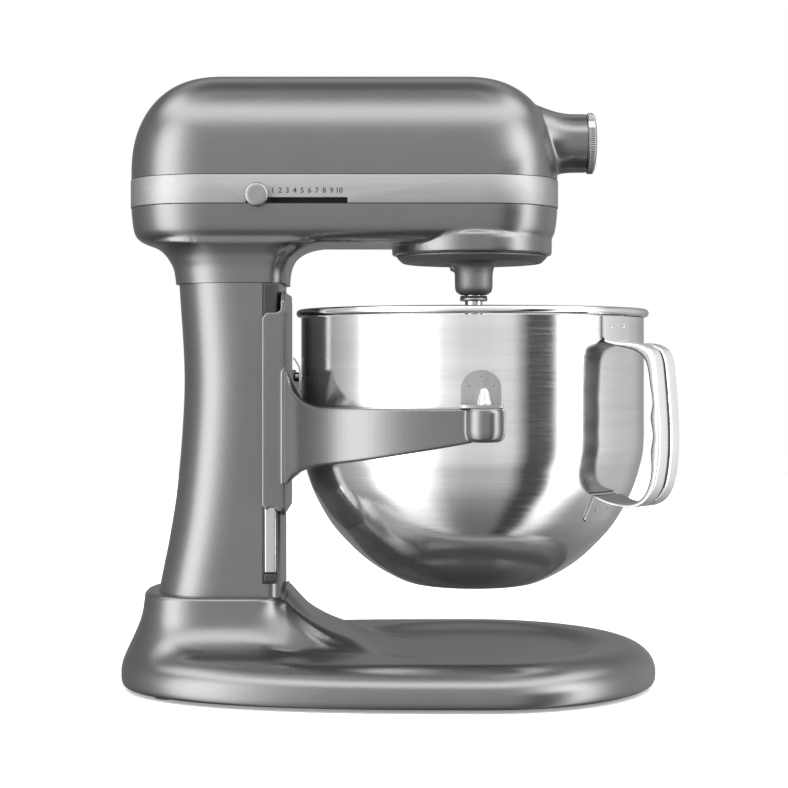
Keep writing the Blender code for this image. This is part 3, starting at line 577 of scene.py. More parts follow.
NECK_BACK = (
    (272, -151.2), (275, -151.4), (280, -152.0), (285.8, -153.1), (290, -155.2), (294.1, -157.8),
    (298.3, -162), (301, -167), (303, -174),
)
NECK_FRONT = (
    (272, -74.2), (275, -74), (281.6, -73.6), (285.8, -72.9), (290, -71.5), (294.1, -68.7),
    (298.3, -62.5), (301, -54), (303, -40),
)
NECK_WIDTH = ((272, 43.3), (275, 43.5), (285, 44), (290, 45), (294, 46), (298.3, 48), (301, 49.5), (303, 51))


def neck_ring(z, inset=0.0):
    flare = max(0.0, z - 290) / 13
    back, front, half_width = (curve_through(line, z) for line in (NECK_BACK, NECK_FRONT, NECK_WIDTH))
    return stadium(
        back + inset, front - inset, half_width - inset, 46 - inset, 16 + 14 * flare - inset, z, power=2.3,
        side_front=16 + 10 * flare - inset,
    )


NECK_LOW, NECK_SEAM = 272, 275.0
COLLAR_SIDE = 54.3  # the collar is a little narrower across the machine than along it
COLLAR_PROFILE = ((1.0, COLLAR_LOW), (0.0, COLLAR_LOW + 1.0), (0.0, 306.5), (1.2, 308.8), (4.0, 310.6))


def make_lower_housing():
    rings = [head_ring(inset, BAND_LOW - depth) for depth, inset in TRAY_EDGE]
    housing = piece("head_tray", *loft(rings), paint)
    neck = [neck_ring(z) for z in range(NECK_LOW, 303)] + [[(x, y, 308.0) for x, y, _ in neck_ring(303, 3.0)]]
    join(housing, piece("head_neck", *loft(neck), paint))
    collar = []
    for inset, z in COLLAR_PROFILE:
        along, across = COLLAR_RADIUS - inset, COLLAR_SIDE - inset
        collar.append([(DRIVE_X + along * cos(a), across * sin(a), z) for a in full_turn(128)])
    join(housing, piece("drive_collar", *loft(collar), paint))
    blend(housing, 0.9, 12)
    inside = [head_ring(3.2, BAND_LOW + 8), head_ring(3.4, 312), head_ring(12, 306)]
    cut(
        housing,
        block("below_band", (-250, -90, BAND_LOW - SEAM), (250, 90, 360), paint),
        block("neck_seam", (-200, -90, 240), (-40, 90, NECK_SEAM), paint),
        block("collar_seam", (-20, -90, 240), (150, 90, COLLAR_LOW), paint),
        piece("tray_inside", *loft(inside), paint),
        turned("collar_inside", [(51, 280), (51, 335)], paint, ON_DRIVE, steps=128),
        turned("neck_passage", [(14, 260), (14, 335)], paint, (-118, 0, 0), steps=48),
    )
    edges(sharpen(housing, 50.0), 0.8, 3, 60.0)
    finish(housing, "stand", "body_paint", "lower_housing")


def make_hub_cap():
    """The attachment hub's cover, with a knurled rim and one bright flat."""
    profile = rounded(
        [
            (14.5, 125.5), (14.5, HUB_END + 0.5), (19.6, HUB_END + 0.5), (19.6, HUB_END + 1.2),
            (20.6, HUB_END + 1.4), (20.9, HUB_END + 2.2), (20.9, 137.0), (20.0, 138.0), (17.0, 138.7),
            (9.0, HUB_CAP_END - 0.1), (0.5, HUB_CAP_END),
        ],
        0.5, 3,
    )
    rim = [i for i, (r, x) in enumerate(profile) if r > 20.5 and HUB_END + 1.3 < x < 137.4]

    def knurl(index, angle, r):
        return r + 0.22 * cos(angle * 90) if index in rim else r

    cap = turned("hub_cover_cap", profile, cap_metal, (0, 0, HUB_Z), "X", 720, ripple=knurl, sharp=60.0)
    finish(cap, "hub_cover", "satin_aluminium", "hub_cap")
    turn = Matrix.Rotation(radians(-32), 3, "X")
    corners = box_points((132.8, -21.15, -2.9), (137.2, -19.0, 2.9))
    points = [turn @ Vector(p) + Vector((0, 0, HUB_Z)) for p in corners]
    flat = piece("hub_cap_flat", points, BOX_FACES, handle_metal)
    finish(edges(flat, 0.3, 2), "hub_cover", "satin_aluminium")


def make_hub_screw():
    axis = (125.0, 0, HUB_Z)
    stem = [(2.9, 15.6), (2.9, 22.8), (4.5, 23.0), (4.5, 24.0), (0.5, 24.0)]
    finish(turned("hub_screw_stem", stem, rail_metal, axis, "Y", 48), "hub_clamp", "bright_steel")

    def grips(index, angle, r):
        return r - (0.7 * max(0.0, cos(angle * 10)) ** 2 if r > 7.0 else 0.0)

    head = rounded([(0.5, 24.0), (8.0, 24.0), (9.6, 25.2), (9.6, 32.0), (8.6, 34.0), (0.5, 34.0)], 0.9)
    knob = turned("hub_screw_knob", head, black_look, axis, "Y", 200, ripple=grips)
    finish(knob, "hub_clamp", "black_plastic", "hub_screw")


def make_planetary():
    at_boss, at_pin = (DRIVE_X, -BEATER_OFFSET, 0), (DRIVE_X, -BEATER_OFFSET, 233)
    disc = rounded(
        [(0.5, 289.6), (46.5, 289.6), (48.2, 290.0), (51.6, 293.4), (52.2, 294.4), (52.2, 295.0), (0.5, 295.0)],
        1.2,
    )
    carrier = turned("planetary_disc", disc, planetary_metal, ON_DRIVE, steps=160)
    boss = rounded(
        [
            (0.5, 266.9), (9.0, 266.9), (12.2, 269.2), (12.8, 272.0), (12.9, 282.0), (14.0, 286.4),
            (16.6, 289.0), (21.0, 290.0), (21.0, 292.5), (0.5, 292.5),
        ],
        2.0, 5,
    )
    join(carrier, turned("drive_boss", boss, planetary_metal, at_boss, steps=96))
    rib, at_rib = [(0.5, 282.5), (3.4, 283.5), (4.0, 286), (4.0, 292)], (DRIVE_X - 12.5, -BEATER_OFFSET, 0)
    join(carrier, turned("boss_rib", rib, planetary_metal, at_rib, steps=48))
    blend(carrier, 0.6, 5)
    cut(carrier, turned("boss_bore", [(6.4, 250), (6.4, 300)], planetary_metal, at_boss, steps=64))
    finish(sharpen(carrier, 50.0), "planetary", "planetary_grey", "planetary_carrier")
    shaft = rounded([(0.3, 221.5), (4.6, 221.5), (6.0, 223.2), (6.0, 304.5), (0.3, 304.5)], 0.8)
    shaft = turned("beater_spindle", shaft, rail_metal, at_boss, steps=64)
    cut(shaft, turned("pin_hole", [(2.2, -20), (2.2, 20)], rail_metal, at_pin, "X", 32))
    finish(sharpen(shaft), "beater_drive", "bright_steel", "beater_shaft")
    pin = rounded([(0.2, -11), (1.5, -11), (2.0, -10.4), (2.0, 10.4), (1.5, 11), (0.2, 11)], 0.3, 3)
    pin = turned("beater_cross_pin", pin, handle_metal, at_pin, "X", 32)
    finish(pin, "beater_drive", "bright_steel", "beater_pin")
    washer = rounded([(6.2, 262.9), (9.0, 262.9), (9.4, 263.4), (9.4, 264.8), (6.2, 264.8)], 0.3, 3)
    washer = turned("spindle_washer", washer, motor_metal, at_boss, steps=64, loop=True)
    finish(washer, "beater_drive", "bright_steel", "beater_washer")
    seal = [(6.2, 264.9), (9.1, 264.9), (9.1, 266.4), (6.2, 266.4)]
    seal = turned("spindle_seal", seal, seam_and_shade_look, at_boss, steps=64, loop=True)
    finish(seal, "beater_drive", "black_plastic")


def make_speed_control():
    face = -(HEAD_HALF_WIDTH + 0.5)
    profile = [
        (0.3, face - 0.8), (7.5, face - 0.8), (7.9, face - 1.4), (8.0, face - 5.4), (7.2, face - 6.6),
        (5.4, face - 7.0), (0.3, face - 7.0),
    ]
    knob = turned("speed_button", rounded(profile, 0.7, 5), knob_metal, (-92.0, 0, 332.6), "Y", 96)
    finish(knob, "speed_control", "satin_aluminium", "speed_knob")
    stub = block("speed_stub", (-94.4, face - 0.7, 328.4), (-89.6, -46.0, 330.5), black_look, 0.3)
    slider = block("speed_slide_plate", (-101, -48, 322), (-83, -45.6, 341), black_look, 0.4)
    finish(merge("speed_slider", stub, slider), "speed_control", "black_plastic", "speed_lever")
    liner = block("slot_liner", (-106, -45.2, 321.0), (-26, -44.4, 342.0), seam_and_shade_look, 0.2)
    finish(liner, "stand", "black_plastic")


# ---- stand


COLUMN_BACK = (
    (62, -163.4), (65, -162.8), (82, -159.4), (99, -156), (130, -151), (174, -146.9), (215, -145.5),
    (274.6, -149),
)
LEVER_X, LEVER_Z = -114.0, 158.0
GLAND_PLACE = (-125.0, 46.6, 92.0)
PEDESTAL_TOP = 64.5
EDGE_REACH, EDGE_LOW = 22.0, 10.0
FOOT_PLACES = ((125, 62), (125, -62), (-150, 62), (-150, -62))


def column_ring(z, inset=0.0, front_inset=0.0):
    half_width = 45 + 0.03 * max(0.0, 130 - z) - inset
    back = curve_through(COLUMN_BACK, z) + inset
    front, corner = COLUMN_FRONT - front_inset, 12 - inset
    return stadium(back, front, half_width, 48 - inset, corner, z, power=2.4, count=200, side_front=corner)


def make_column():
    heights = [62 + i * 2.0 for i in range(106)] + [274.6]
    outer = [column_ring(z) for z in heights]
    inner = [column_ring(z, 6.0, 8.0) for z in heights[::10] + [274.6]]
    column = piece("column_casting", *loft(outer + inner[::-1], closed=True), paint)
    for side in SIDES:
        low, high = sorted((side * 41.0, side * 60.0))
        cut(column, block("rail_groove", (-89.0, low, 73), (-78.5, high, 290), paint))
    cut(
        column,
        block("lift_slot", (-90, -9, 128), (-70, 9, 262), paint),
        turned("gland_hole", [(6.4, -20), (6.4, 10)], paint, GLAND_PLACE, "Y", 48),
        turned("lever_bore", [(6.3, 20), (6.3, 70)], paint, (LEVER_X, 0, LEVER_Z), "Y", 48),
    )
    edges(sharpen(column, 40.0), 0.5, 2, 50.0)
    finish(column, "stand", "body_paint", "column")


# Rounded plans: (middle, reach back, reach front, half width, power back, power front)
BASE_PLAN = (PLATE_MIDDLE, PLATE_MIDDLE - BASE_BACK, BASE_FRONT - PLATE_MIDDLE, BASE_HALF_WIDTH, 2.7, 2.0)
PEDESTAL_PLAN = (-122.0, 50.5, 48.5, 54.0, 2.5, 2 / 0.44)
PEDESTAL_FRONT = -73.5
RIDGE_WIDTH, RIDGE_HEIGHT = 2.8, 0.45


def plan_point(angle, plan, inset=0.0):
    """A point round a rounded plan, drawn in by the inset."""
    middle, back, front, half, power_back, power_front = plan
    c, s = cos(angle), sin(angle)
    reach, power = (front, power_front) if c > 0 else (back, power_back)
    x = middle + copysign((reach - inset) * abs(c) ** (2 / power), c)
    return Vector((x, copysign((half - inset) * abs(s) ** (2 / power), s)))


def outside(place, plan):
    """How far a place lies outside a rounded plan, less than nought inside it."""
    middle, back, front, half, power_back, power_front = plan
    u, v = place.x - middle, abs(place.y)
    reach, power = (front, power_front) if u > 0 else (back, power_back)
    a, b = abs(u) / reach, v / half
    size = max((a**power + b**power) ** (1 / power), 1e-6)
    slope = hypot((a / size) ** (power - 1) / reach, (b / size) ** (power - 1) / half)
    return (size - 1) / max(slope, 1e-6)


def eased(value, low, high):
    """Nought below the range, one above it, with soft ends."""
    t = min(1.0, max(0.0, (value - low) / (high - low)))
    return t * t * (3 - 2 * t)


def tongue(place):
    """The raised middle of the apron in front of the column, and a pair of ridges along its sides."""
    along = eased(place.x, -80, -72) * (1 - eased(place.x, -58, -14))
    from_ridge = abs(place.y) - 47 - 8 * eased(place.x, -74, -20)
    ridge = exp(-((from_ridge / RIDGE_WIDTH) ** 2)) + 0.8 * exp(-(((from_ridge + 8.5) / RIDGE_WIDTH) ** 2))
    crown = 5.0 * (1 - eased(abs(place.y), 16, 36)) * (1 - eased(place.x, -74, -48))
    return along * (RIDGE_HEIGHT * ridge + crown)


def base_height(place):
    """The base's upper surface: a rounded edge, a plate with a shallow dish, and a flare up to the column."""
    over = min(1.0, max(0.0, 1 + outside(place, BASE_PLAN) / EDGE_REACH))
    edge = EDGE_LOW + (PLATE_TOP - EDGE_LOW) * sqrt(1 - over * over)
    from_pedestal = max(0.0, outside(place, PEDESTAL_PLAN))
    side = 0.75 * max(0.0, 1 - from_pedestal / 24) ** 2.6 + 0.25 * exp(-from_pedestal)
    ahead = max(0.0, place.x - PEDESTAL_FRONT)
    front = max(0.0, 1 - ahead / 110) ** 2 / (1 + ahead / 64)
    apron = (1 - eased(abs(place.y), 34, 62)) * eased(place.x, -110, -76)
    flare = (PEDESTAL_TOP - 3 - PLATE_TOP) * (side + (front - side) * apron)
    radius = (place - Vector((DRIVE_X, 0))).length
    dish = 5.0 * (1 - eased(radius, 72, 93)) + 0.8 * max(0.0, 1 - (radius / 92) ** 2)
    return edge + flare - dish + tongue(place)


def base_rings(inset, drop, shares, count):
    """Rings from the underside over the edge and the top to the pedestal; drop is the wall's thickness."""
    angles = full_turn(count, 0.5)
    if drop:
        rings = [[(*plan_point(a, BASE_PLAN, inset + 1.5), BASE_LOW) for a in angles]]
        rings.append([(x, y, EDGE_LOW - drop) for x, y, _ in rings[0]])
    else:
        under = ((3.4, BASE_LOW), (2.2, BASE_LOW + 0.2), (1.1, 3.4), (0.4, 5.0), (0.0, 7.5))
        rings = [[(*plan_point(a, BASE_PLAN, inset + draw), z) for a in angles] for draw, z in under]
    for share in shares:
        ends = [[plan_point(a, plan, inset) for plan in (BASE_PLAN, PEDESTAL_PLAN)] for a in angles]
        spots = [rim.lerp(foot, share) for rim, foot in ends]
        rings.append([(spot.x, spot.y, base_height(spot) - drop) for spot in spots])
    return rings


def make_base():
    count = 360
    shares = [(1 - cos(pi * i / 90)) / 2 for i in range(91)]
    outer = base_rings(0.0, 0.0, shares, count)
    for inset, rise in ((0.15, 0.9), (0.6, 1.8), (1.4, 2.6), (2.6, 3.0), (4.2, 3.1)):
        ring = [plan_point(a, PEDESTAL_PLAN, inset) for a in full_turn(count, 0.5)]
        outer.append([(p.x, p.y, PEDESTAL_TOP - 3 + rise + tongue(p)) for p in ring])
    inner = base_rings(6.0, 6.0, (0.1, 0.3, 0.5, 0.7, 0.8, 0.86, 0.9, 0.94, 0.97, 0.99, 1.0), count)
    base = piece("base_casting", *loft(outer[::-1] + inner), paint, sharp=60.0)
    for x, y in FOOT_PLACES:
        join(base, turned("foot_boss", [(12, 2.7), (12, 21)], paint, (x, y, 0), steps=48))
    cut(base, turned("wire_passage", [(12, 30), (12, 90)], paint, (-125, 0, 0), steps=48))
    finish(sharpen(base, 50.0), "stand", "body_paint", "base")


def make_feet():
    for (x, y), name in zip(FOOT_PLACES, ("front_far", "front_near", "back_far", "back_near")):
        profile = rounded(
            [(0.4, 0.8), (5.0, 0.8), (5.6, 0.0), (8.6, 0.0), (9.5, 0.8), (9.5, 2.4), (0.4, 2.4)], 0.5, 3
        )
        foot = turned(f"rubber_foot_{name}", profile, rubber_look, (x, y, 0), steps=64)
        finish(foot, "stand", "foot_rubber", f"foot_{name}")


def make_rails():
    for side, name in SIDES.items():
        low, high = sorted((side * 41.4, side * 46.4))
        rail = block(f"ground_rail_{name}", (-87.5, low, 80.3), (-79.7, high, 252.5), rail_metal, 1.1)
        finish(rail, "stand", "bright_steel", f"guide_rail_{name}")
        cap = block(f"rail_bottom_cap_{name}", (-88.2, low, 74), (-79.2, high, 80), black_look, 1.2)
        finish(cap, "stand", "black_plastic", f"rail_cap_{name}")
        stop = block(f"rail_top_stop_{name}", (-88.2, low, 253), (-79.2, high, 274), black_look, 0.8)
        finish(stop, "stand", "black_plastic", f"lift_stop_{name}")


def make_cord_gland():
    gland = rounded(
        [(6.0, -7.0), (6.0, 0.5), (9.0, 0.5), (9.0, 2.6), (7.8, 3.5), (4.6, 3.5), (4.0, 3.0), (4.0, -7.0)],
        0.5, 3,
    )
    gland = turned("cord_bush", gland, black_look, GLAND_PLACE, "Y", 64, loop=True)
    finish(gland, "stand", "black_plastic", "cord_gland")


def prism(name, outline, low, high, look, plane="XZ"):
    """A flat outline carried straight between two places on the axis across its plane."""
    spot = {
        "XZ": lambda u, v, w: (u, w, v),
        "XY": lambda u, v, w: (u, v, w),
        "YZ": lambda u, v, w: (w, u, v),
    }[plane]
    return piece(name, *loft([[spot(u, v, w) for u, v in outline] for w in (low, high)]), look)


def yoke_station(angle):
    """The yoke's section at a bearing from the bowl's axis, as (radius, height) corners."""
    c, s = cos(angle), sin(angle)
    squarer = (abs(c) ** YOKE_POWER + abs(s) ** YOKE_POWER) ** (-1 / YOKE_POWER)
    inner, outer = YOKE_INNER * squarer, YOKE_OUTER * squarer
    if c < -0.1:
        outer = min(outer, (DRIVE_X - COLUMN_FRONT - 0.6) / -c)
    x = DRIVE_X + outer * c
    root = max(0.0, -48 - x) if x > -72 else 24.0
    fillet = 24 - sqrt(max(0.0, 24**2 - root**2))
    low = 173 - 21 * min(1.0, max(0.0, (55 - x) / 127)) ** 0.9
    return (
        (inner - 1.0, low), (outer - 1.0, low - fillet * 0.5), (outer, low + 1.0 - fillet * 0.5),
        (outer, YOKE_TOP - 1.0 + fillet), (outer - 1.0, YOKE_TOP + fillet), (inner - 1.0, YOKE_TOP),
    )


def yoke_half(name, start, end):
    rings = []
    for i in range(61):
        angle = radians(start + (end - start) * i / 60)
        rings.append([(DRIVE_X + r * cos(angle), r * sin(angle), z) for r, z in yoke_station(angle)])
    return piece(name, *loft(rings), paint)


def pin_place(side):
    return (DRIVE_X + 1.5, side * PIN_REACH, 0)


def make_yoke():
    yoke = join(yoke_half("yoke_casting", 90, 180.0), yoke_half("yoke_arm", 270, 179.6))
    back = COLUMN_FRONT + 0.4
    plate = [(51, 124), (51, 262), (45, 269), (-45, 269), (-51, 262), (-51, 124), (-46, 119), (46, 119)]
    join(yoke, prism("yoke_plate", plate, back, -73.6, paint, plane="YZ"))
    flange = [
        (-75.5, 121), (-75.5, 257), (-78.7, 254.8), (-86, 254.8), (-89, 251), (-89, 126), (-86, 122.4),
        (-84, 124.5), (-81, 124.5), (-78.5, 122.4),
    ]
    boss = [(9.5, 171.5), (12.3, 173.4), (13.2, 177), (13.2, 190.8), (12.4, YOKE_TOP + 0.3)]
    for side in SIDES:
        join(yoke, prism("yoke_flange", flange, *sorted((side * 46.8, side * 51.4)), paint))
        join(yoke, turned("pin_boss", boss, paint, pin_place(side), steps=96))
    blend(yoke, 0.75, 7)
    clearance = [(YOKE_INNER - 0.7, 150), (YOKE_INNER - 0.7, 300)]
    cut(
        yoke,
        turned("bowl_clearance", clearance, paint, ON_DRIVE, steps=256),
        block("column_side", (-106.9, -46.6, 100), (back - 0.05, 46.6, 290), paint),
    )
    finish(sharpen(yoke, 50.0), "yoke", "body_paint", "bowl_yoke")
    pin = rounded(
        [
            (0.2, 192.6), (6.4, 192.6), (6.4, 193.0), (4.3, 193.2), (4.3, 196.2), (3.8, 197.4), (2.6, 203.2),
            (1.6, 205.0), (0.2, 205.4),
        ],
        0.6,
    )
    for side, name in SIDES.items():
        made = turned(f"bowl_pin_{name}", pin, handle_metal, pin_place(side), steps=64)
        finish(made, "yoke", "bright_steel", f"yoke_pin_{name}")
    bracket = block("lift_lug", (-100, -7, 186), (back - 0.3, 7, 206), motor_metal, 1.6)
    finish(bracket, "yoke", "motor_steel", "lift_bracket")


def make_lift_lever():
    shaft = rounded([(0.3, -6), (5.2, -6), (6.0, -5.2), (6.0, 57.7), (5.2, 58.5), (0.3, 58.5)], 0.4, 3)
    shaft = turned("lift_cross_shaft", shaft, gear_look, (LEVER_X, 0, LEVER_Z), "Y", 64)
    crank = [(LEVER_X + u, LEVER_Z + v) for u, v in ((-7, -8), (7, -8), (5, 21), (-5, 21))]
    join(shaft, prism("crank", crank, 9, 15, gear_look))
    finish(sharpen(shaft), "lift_handle", "gear_steel", "lift_shaft")
    eye = [(10.5 * cos(pi + pi * i / 32), 10.5 * sin(pi + pi * i / 32)) for i in range(33)]
    tip = [(6.3 * cos(pi * i / 16), 66 + 6.3 * sin(pi * i / 16)) for i in range(17)]
    outline = eye + [(9.4, 14), (6.5, 60)] + tip + [(-6.5, 60), (-9.4, 14)]
    arm = prism("lift_arm", [(LEVER_X + u, LEVER_Z + v) for u, v in outline], 50.5, 57, lever_metal)
    cut(arm, turned("lever_eye", [(6.2, 40), (6.2, 70)], lever_metal, (LEVER_X, 0, LEVER_Z), "Y", 64))
    finish(edges(sharpen(arm), 1.3, 4, 50.0), "lift_handle", "satin_aluminium", "lift_lever")
    grip = rounded(
        [(0.4, 57.2), (5.5, 57.3), (9.0, 58.2), (9.6, 60.5), (10.5, 67), (10.2, 79), (8.0, 83.2), (0.4, 83.5)],
        1.6, 5,
    )
    grip = turned("lift_grip", grip, black_look, (LEVER_X, 0, LEVER_Z + 62), "Y", 96)
    finish(grip, "lift_handle", "black_plastic", "lever_grip")


# ---- bowl


BOWL_CURVE = (
    (0.3, 67.6), (20, 67.7), (36, 68.4), (47, 70.6), (61, 77.4), (74.4, 86.5), (86, 97.3), (96.5, 109.2),
    (104.5, 122), (111.2, 136), (115.4, 150), (117.6, 160), (BOWL_RADIUS, 172), (BOWL_RADIUS, 185),
    (BOWL_RADIUS, 200),
)
BOWL_WALL = 1.2


def smooth_curve(points, per):
    """A flowing line through the points, with some steps for each span."""
    points = [Vector(p) for p in points]
    ends = [points[0] * 2 - points[1]] + points + [points[-1] * 2 - points[-2]]
    line = []
    for a, b, c, d in zip(ends, ends[1:], ends[2:], ends[3:]):
        for i in range(per):
            t = i / per
            square, cube = (a * 2 - b * 5 + c * 4 - d) * t**2, (b * 3 - a - c * 3 + d) * t**3
            line.append((b * 2 + (c - a) * t + square + cube) / 2)
    return line + [points[-1]]


def bowl_radius(z):
    return curve_through([(h, r) for r, h in BOWL_CURVE[1:]], z)


def make_bowl():
    outer = [tuple(p) for p in smooth_curve(BOWL_CURVE, 8)]
    outer += [(BOWL_RADIUS, z) for z in (215, 230, 245, 251.6)]
    inner = []
    for (r0, z0), (r1, z1) in zip(outer, outer[1:]):
        across = Vector((z0 - z1, r1 - r0)).normalized() * BOWL_WALL
        inner.append((max(0.3, (r0 + r1) / 2 + across.x), (z0 + z1) / 2 + across.y))
    bowl = turned("bowl_shell", outer + inner[::-1], bowl_metal, ON_DRIVE, steps=300, sharp=60.0)
    finish(bowl, "mixing_bowl", "bowl_steel", "bowl")
    turns = [radians(-150 + 9 * i) for i in range(40)]
    bead = [(118.9 + BEAD_RADIUS * cos(a), 254.9 + BEAD_RADIUS * sin(a)) for a in turns]
    rim = turned("bowl_rim", bead, rim_metal, ON_DRIVE, steps=300, loop=True, sharp=60.0)
    finish(rim, "mixing_bowl", "bowl_steel")


def wall_spot(azimuth, along, z, depth):
    """A place at a length round the bowl's wall, a height, and a depth out from the wall."""
    angle = radians(azimuth) + along / BOWL_RADIUS
    reach = bowl_radius(z) + depth
    return (DRIVE_X + reach * cos(angle), reach * sin(angle), z)


def wall_patch(name, columns, azimuth, thickness, look, rows, lift=0.25):
    """A plate bent to the bowl's wall; each column is (length round the wall, lowest, highest height)."""
    rings = []
    for along, low, high in columns:
        heights = [low + (high - low) * i / rows for i in range(rows + 1)]
        line = [(lift, z) for z in heights] + [(lift + thickness, z) for z in heights[::-1]]
        rings.append([wall_spot(azimuth, along, z, d) for d, z in line])
    return piece(name, *loft(rings), look)


def tab_columns(half, low, high, radius):
    """A plate's outline with rounded corners along its bottom."""
    columns = []
    for i in range(41):
        along = -half * cos(pi * i / 40)
        over = max(0.0, abs(along) - (half - radius))
        columns.append((along, low + radius - sqrt(max(0.0, radius**2 - over**2)), high))
    return columns


def dimple(plate, azimuth, along, z, depth, size=1.1):
    """A small round weld mark pressed into a plate, with a black disc in its floor as painted shade."""
    profile = [(max(0.05, size * sin(pi * i / 12)), -size * cos(pi * i / 12)) for i in range(13)]
    cut(plate, turned("dimple", profile, bracket_metal, wall_spot(azimuth, along, z, depth), steps=24))
    # A black disc down in the dimple is painted shade.
    floor, spot = [(r * 0.72, h * 0.72) for r, h in profile], wall_spot(azimuth, along, z, depth - 1.3)
    mark = turned(f"dimple_painted_shade_{len(bpy.data.objects)}", floor, seam_and_shade_look, spot, steps=24)
    finish(mark, "mixing_bowl", "black_plastic")


def make_side_brackets():
    half = 12.6
    columns = [(-half * cos(pi * i / 48), 193.2, 204.0 + half * sin(pi * i / 48) ** 0.9) for i in range(49)]
    ledge = [(13.4, 117.5), (13.4, 131), (12.4, 133.6), (9.5, 135)]
    ledge += [(-u, v) for u, v in ledge[::-1]]
    space = [(BOWL_RADIUS + 0.25, 150), (BOWL_RADIUS + 0.25, 240)]
    for side, name in SIDES.items():
        plate = wall_patch(f"bracket_plate_{name}", columns, side * 90, 1.3, bracket_metal, rows=3)
        outline = [(DRIVE_X + u, side * v) for u, v in ledge]
        shelf = prism("ledge", outline, 193.0, 195.0, bracket_metal, plane="XY")
        cut(shelf, turned("bowl_space", space, bracket_metal, ON_DRIVE, steps=200))
        join(plate, shelf)
        cut(plate, turned("pin_hole", [(5.0, 180), (5.0, 200)], bracket_metal, pin_place(side), steps=48))
        for along, z in ((-7.5, 206.0), (0.0, 212.0), (7.5, 206.0)):
            dimple(plate, side * 90, along, z, 2.0, 0.9)
        edges(sharpen(plate, 40.0), 0.35, 2, 50.0)
        finish(plate, "mixing_bowl", "bowl_steel", f"side_bracket_{name}")


HANDLE_AZIMUTH, HANDLE_WIDTH, HANDLE_SEAM = -40.5, 26.0, 2.7
HANDLE_PATH = (  # the inner face, then the outer, as (radius, height)
    ((119.6, 234.2), (119.6, 236.0)), ((125.5, 232.2), (125.7, 234.4)), ((131.8, 230.8), (131.8, 233.8)),
    ((138.4, 229.2), (139.0, 233.7)), ((144.0, 226.2), (145.8, 232.6)), ((148.2, 221.4), (151.8, 229.4)),
    ((150.2, 214.4), (155.0, 222.8)), ((151.4, 206.4), (156.6, 211.4)), ((153.2, 196.4), (158.0, 196.2)),
    ((151.6, 186.0), (158.8, 184.6)), ((153.4, 175.5), (159.2, 173.0)), ((151.8, 165.0), (158.8, 161.6)),
    ((152.4, 153.0), (157.2, 149.6)), ((150.4, 143.4), (154.6, 140.6)), ((146.6, 136.2), (149.6, 133.4)),
    ((141.0, 132.2), (142.6, 129.4)), ((135.0, 130.8), (135.4, 128.2)), ((129.0, 130.8), (129.0, 128.6)),
    ((121.6, 132.0), (120.8, 130.2)), ((113.6, 134.8), (112.8, 133.2)),
)


SHADED_INSIDE_COLUMNS = 10  # the columns of faces round each side that get the inner face's painted shade


def handle_section(depth, gap, half):
    """The folded handle's section as (across, depth): rounded sides and a seam along the outer face."""
    soft, rise, corner = min(3.6, depth), depth * 0.42, min(2.4, depth * 0.32)
    side = [(half - soft + soft * sin(pi / 2 * i / 9), rise - rise * cos(pi / 2 * i / 9)) for i in range(10)]
    for i in range(8):
        a = pi / 2 * i / 7
        side.append((half - corner + corner * cos(a), depth - corner + corner * sin(a)))
    deep = min(3.4, depth * 0.55) * min(1.0, gap)
    lip = min(0.5, gap * 0.5)
    side += [(gap / 2 + lip + 2.0, depth), (gap / 2 + lip, depth - lip * 0.15)]
    side += [(gap / 2, depth - lip), (gap / 2, depth - lip - deep)]
    return side + [(-u, w) for u, w in side[::-1]]


def handle_frames(per):
    """Stations along the handle: (inner face, outer face, direction across, gap of the seam, half width)."""
    inner = smooth_curve([p for p, _ in HANDLE_PATH], per)
    outer = smooth_curve([p for _, p in HANDLE_PATH], per)
    turn = radians(HANDLE_AZIMUTH)
    out, across = Vector((cos(turn), sin(turn), 0)), Vector((-sin(turn), cos(turn), 0))
    axis = Vector(ON_DRIVE)
    for i, (a, b) in enumerate(zip(inner, outer)):
        share = i / (len(inner) - 1)
        low, high = (axis + out * p.x + Vector((0, 0, p.y)) for p in (a, b))
        gap = HANDLE_SEAM * eased(share, 0.13, 0.34) * (1 - eased(share, 0.70, 0.86))
        half = HANDLE_WIDTH / 2 + 2.0 * (1 - eased(share, 0.0, 0.08)) + 2.0 * eased(share, 0.9, 1.0)
        yield low, high, across, max(0.02, gap), half


def make_handle():
    rings, liner = [], []
    for low, high, across, gap, half in handle_frames(8):
        depth = (high - low).length
        up = (high - low) / depth
        rings.append([low + across * u + up * w for u, w in handle_section(depth, gap, half)])
        # A black strip laid down in the seam's gap is painted shade.
        if gap > 0.4:
            width, top, bottom = gap / 2 + 0.1, depth - 0.7, depth - 1.9
            corners = ((-width, bottom), (width, bottom), (width, top), (-width, top))
            liner.append([low + across * u + up * w for u, w in corners])
    handle = piece("folded_handle", *loft(rings), handle_face_painted_light, sharp=50.0)
    # The darker copy on the inner edges is painted shade; the lighter copy elsewhere is painted light.
    handle.data.materials.append(handle_inside_painted_shade)
    around = len(rings[0])
    for side in handle.data.polygons:
        column = side.index % around
        side.material_index = int(column < SHADED_INSIDE_COLUMNS or column >= around - SHADED_INSIDE_COLUMNS - 1)
    finish(handle, "mixing_bowl", "bright_steel", "bowl_handle")
    finish(piece("handle_seam_painted_shade", *loft(liner), seam_and_shade_look), "mixing_bowl", "black_plastic")
    tabs = (("top", (235.0, 251.4, 4.5), 4), ("bottom", (117.5, 134.8, 2.0), 8))
    plates = [
        wall_patch(f"handle_tab_{name}", tab_columns(15.0, *heights), HANDLE_AZIMUTH, 1.5, rim_metal, rows)
        for name, heights, rows in tabs
    ]
    for plate, z in zip(plates, (245.0, 125.0)):
        for along in (-7.4, 7.4):
            dimple(plate, HANDLE_AZIMUTH, along, z, 2.2, 1.1)
    for plate, (name, *_) in zip(plates, tabs):
        edges(sharpen(plate, 40.0), 0.4, 3, 50.0)
        finish(plate, "mixing_bowl", "bright_steel", f"handle_plate_{name}")


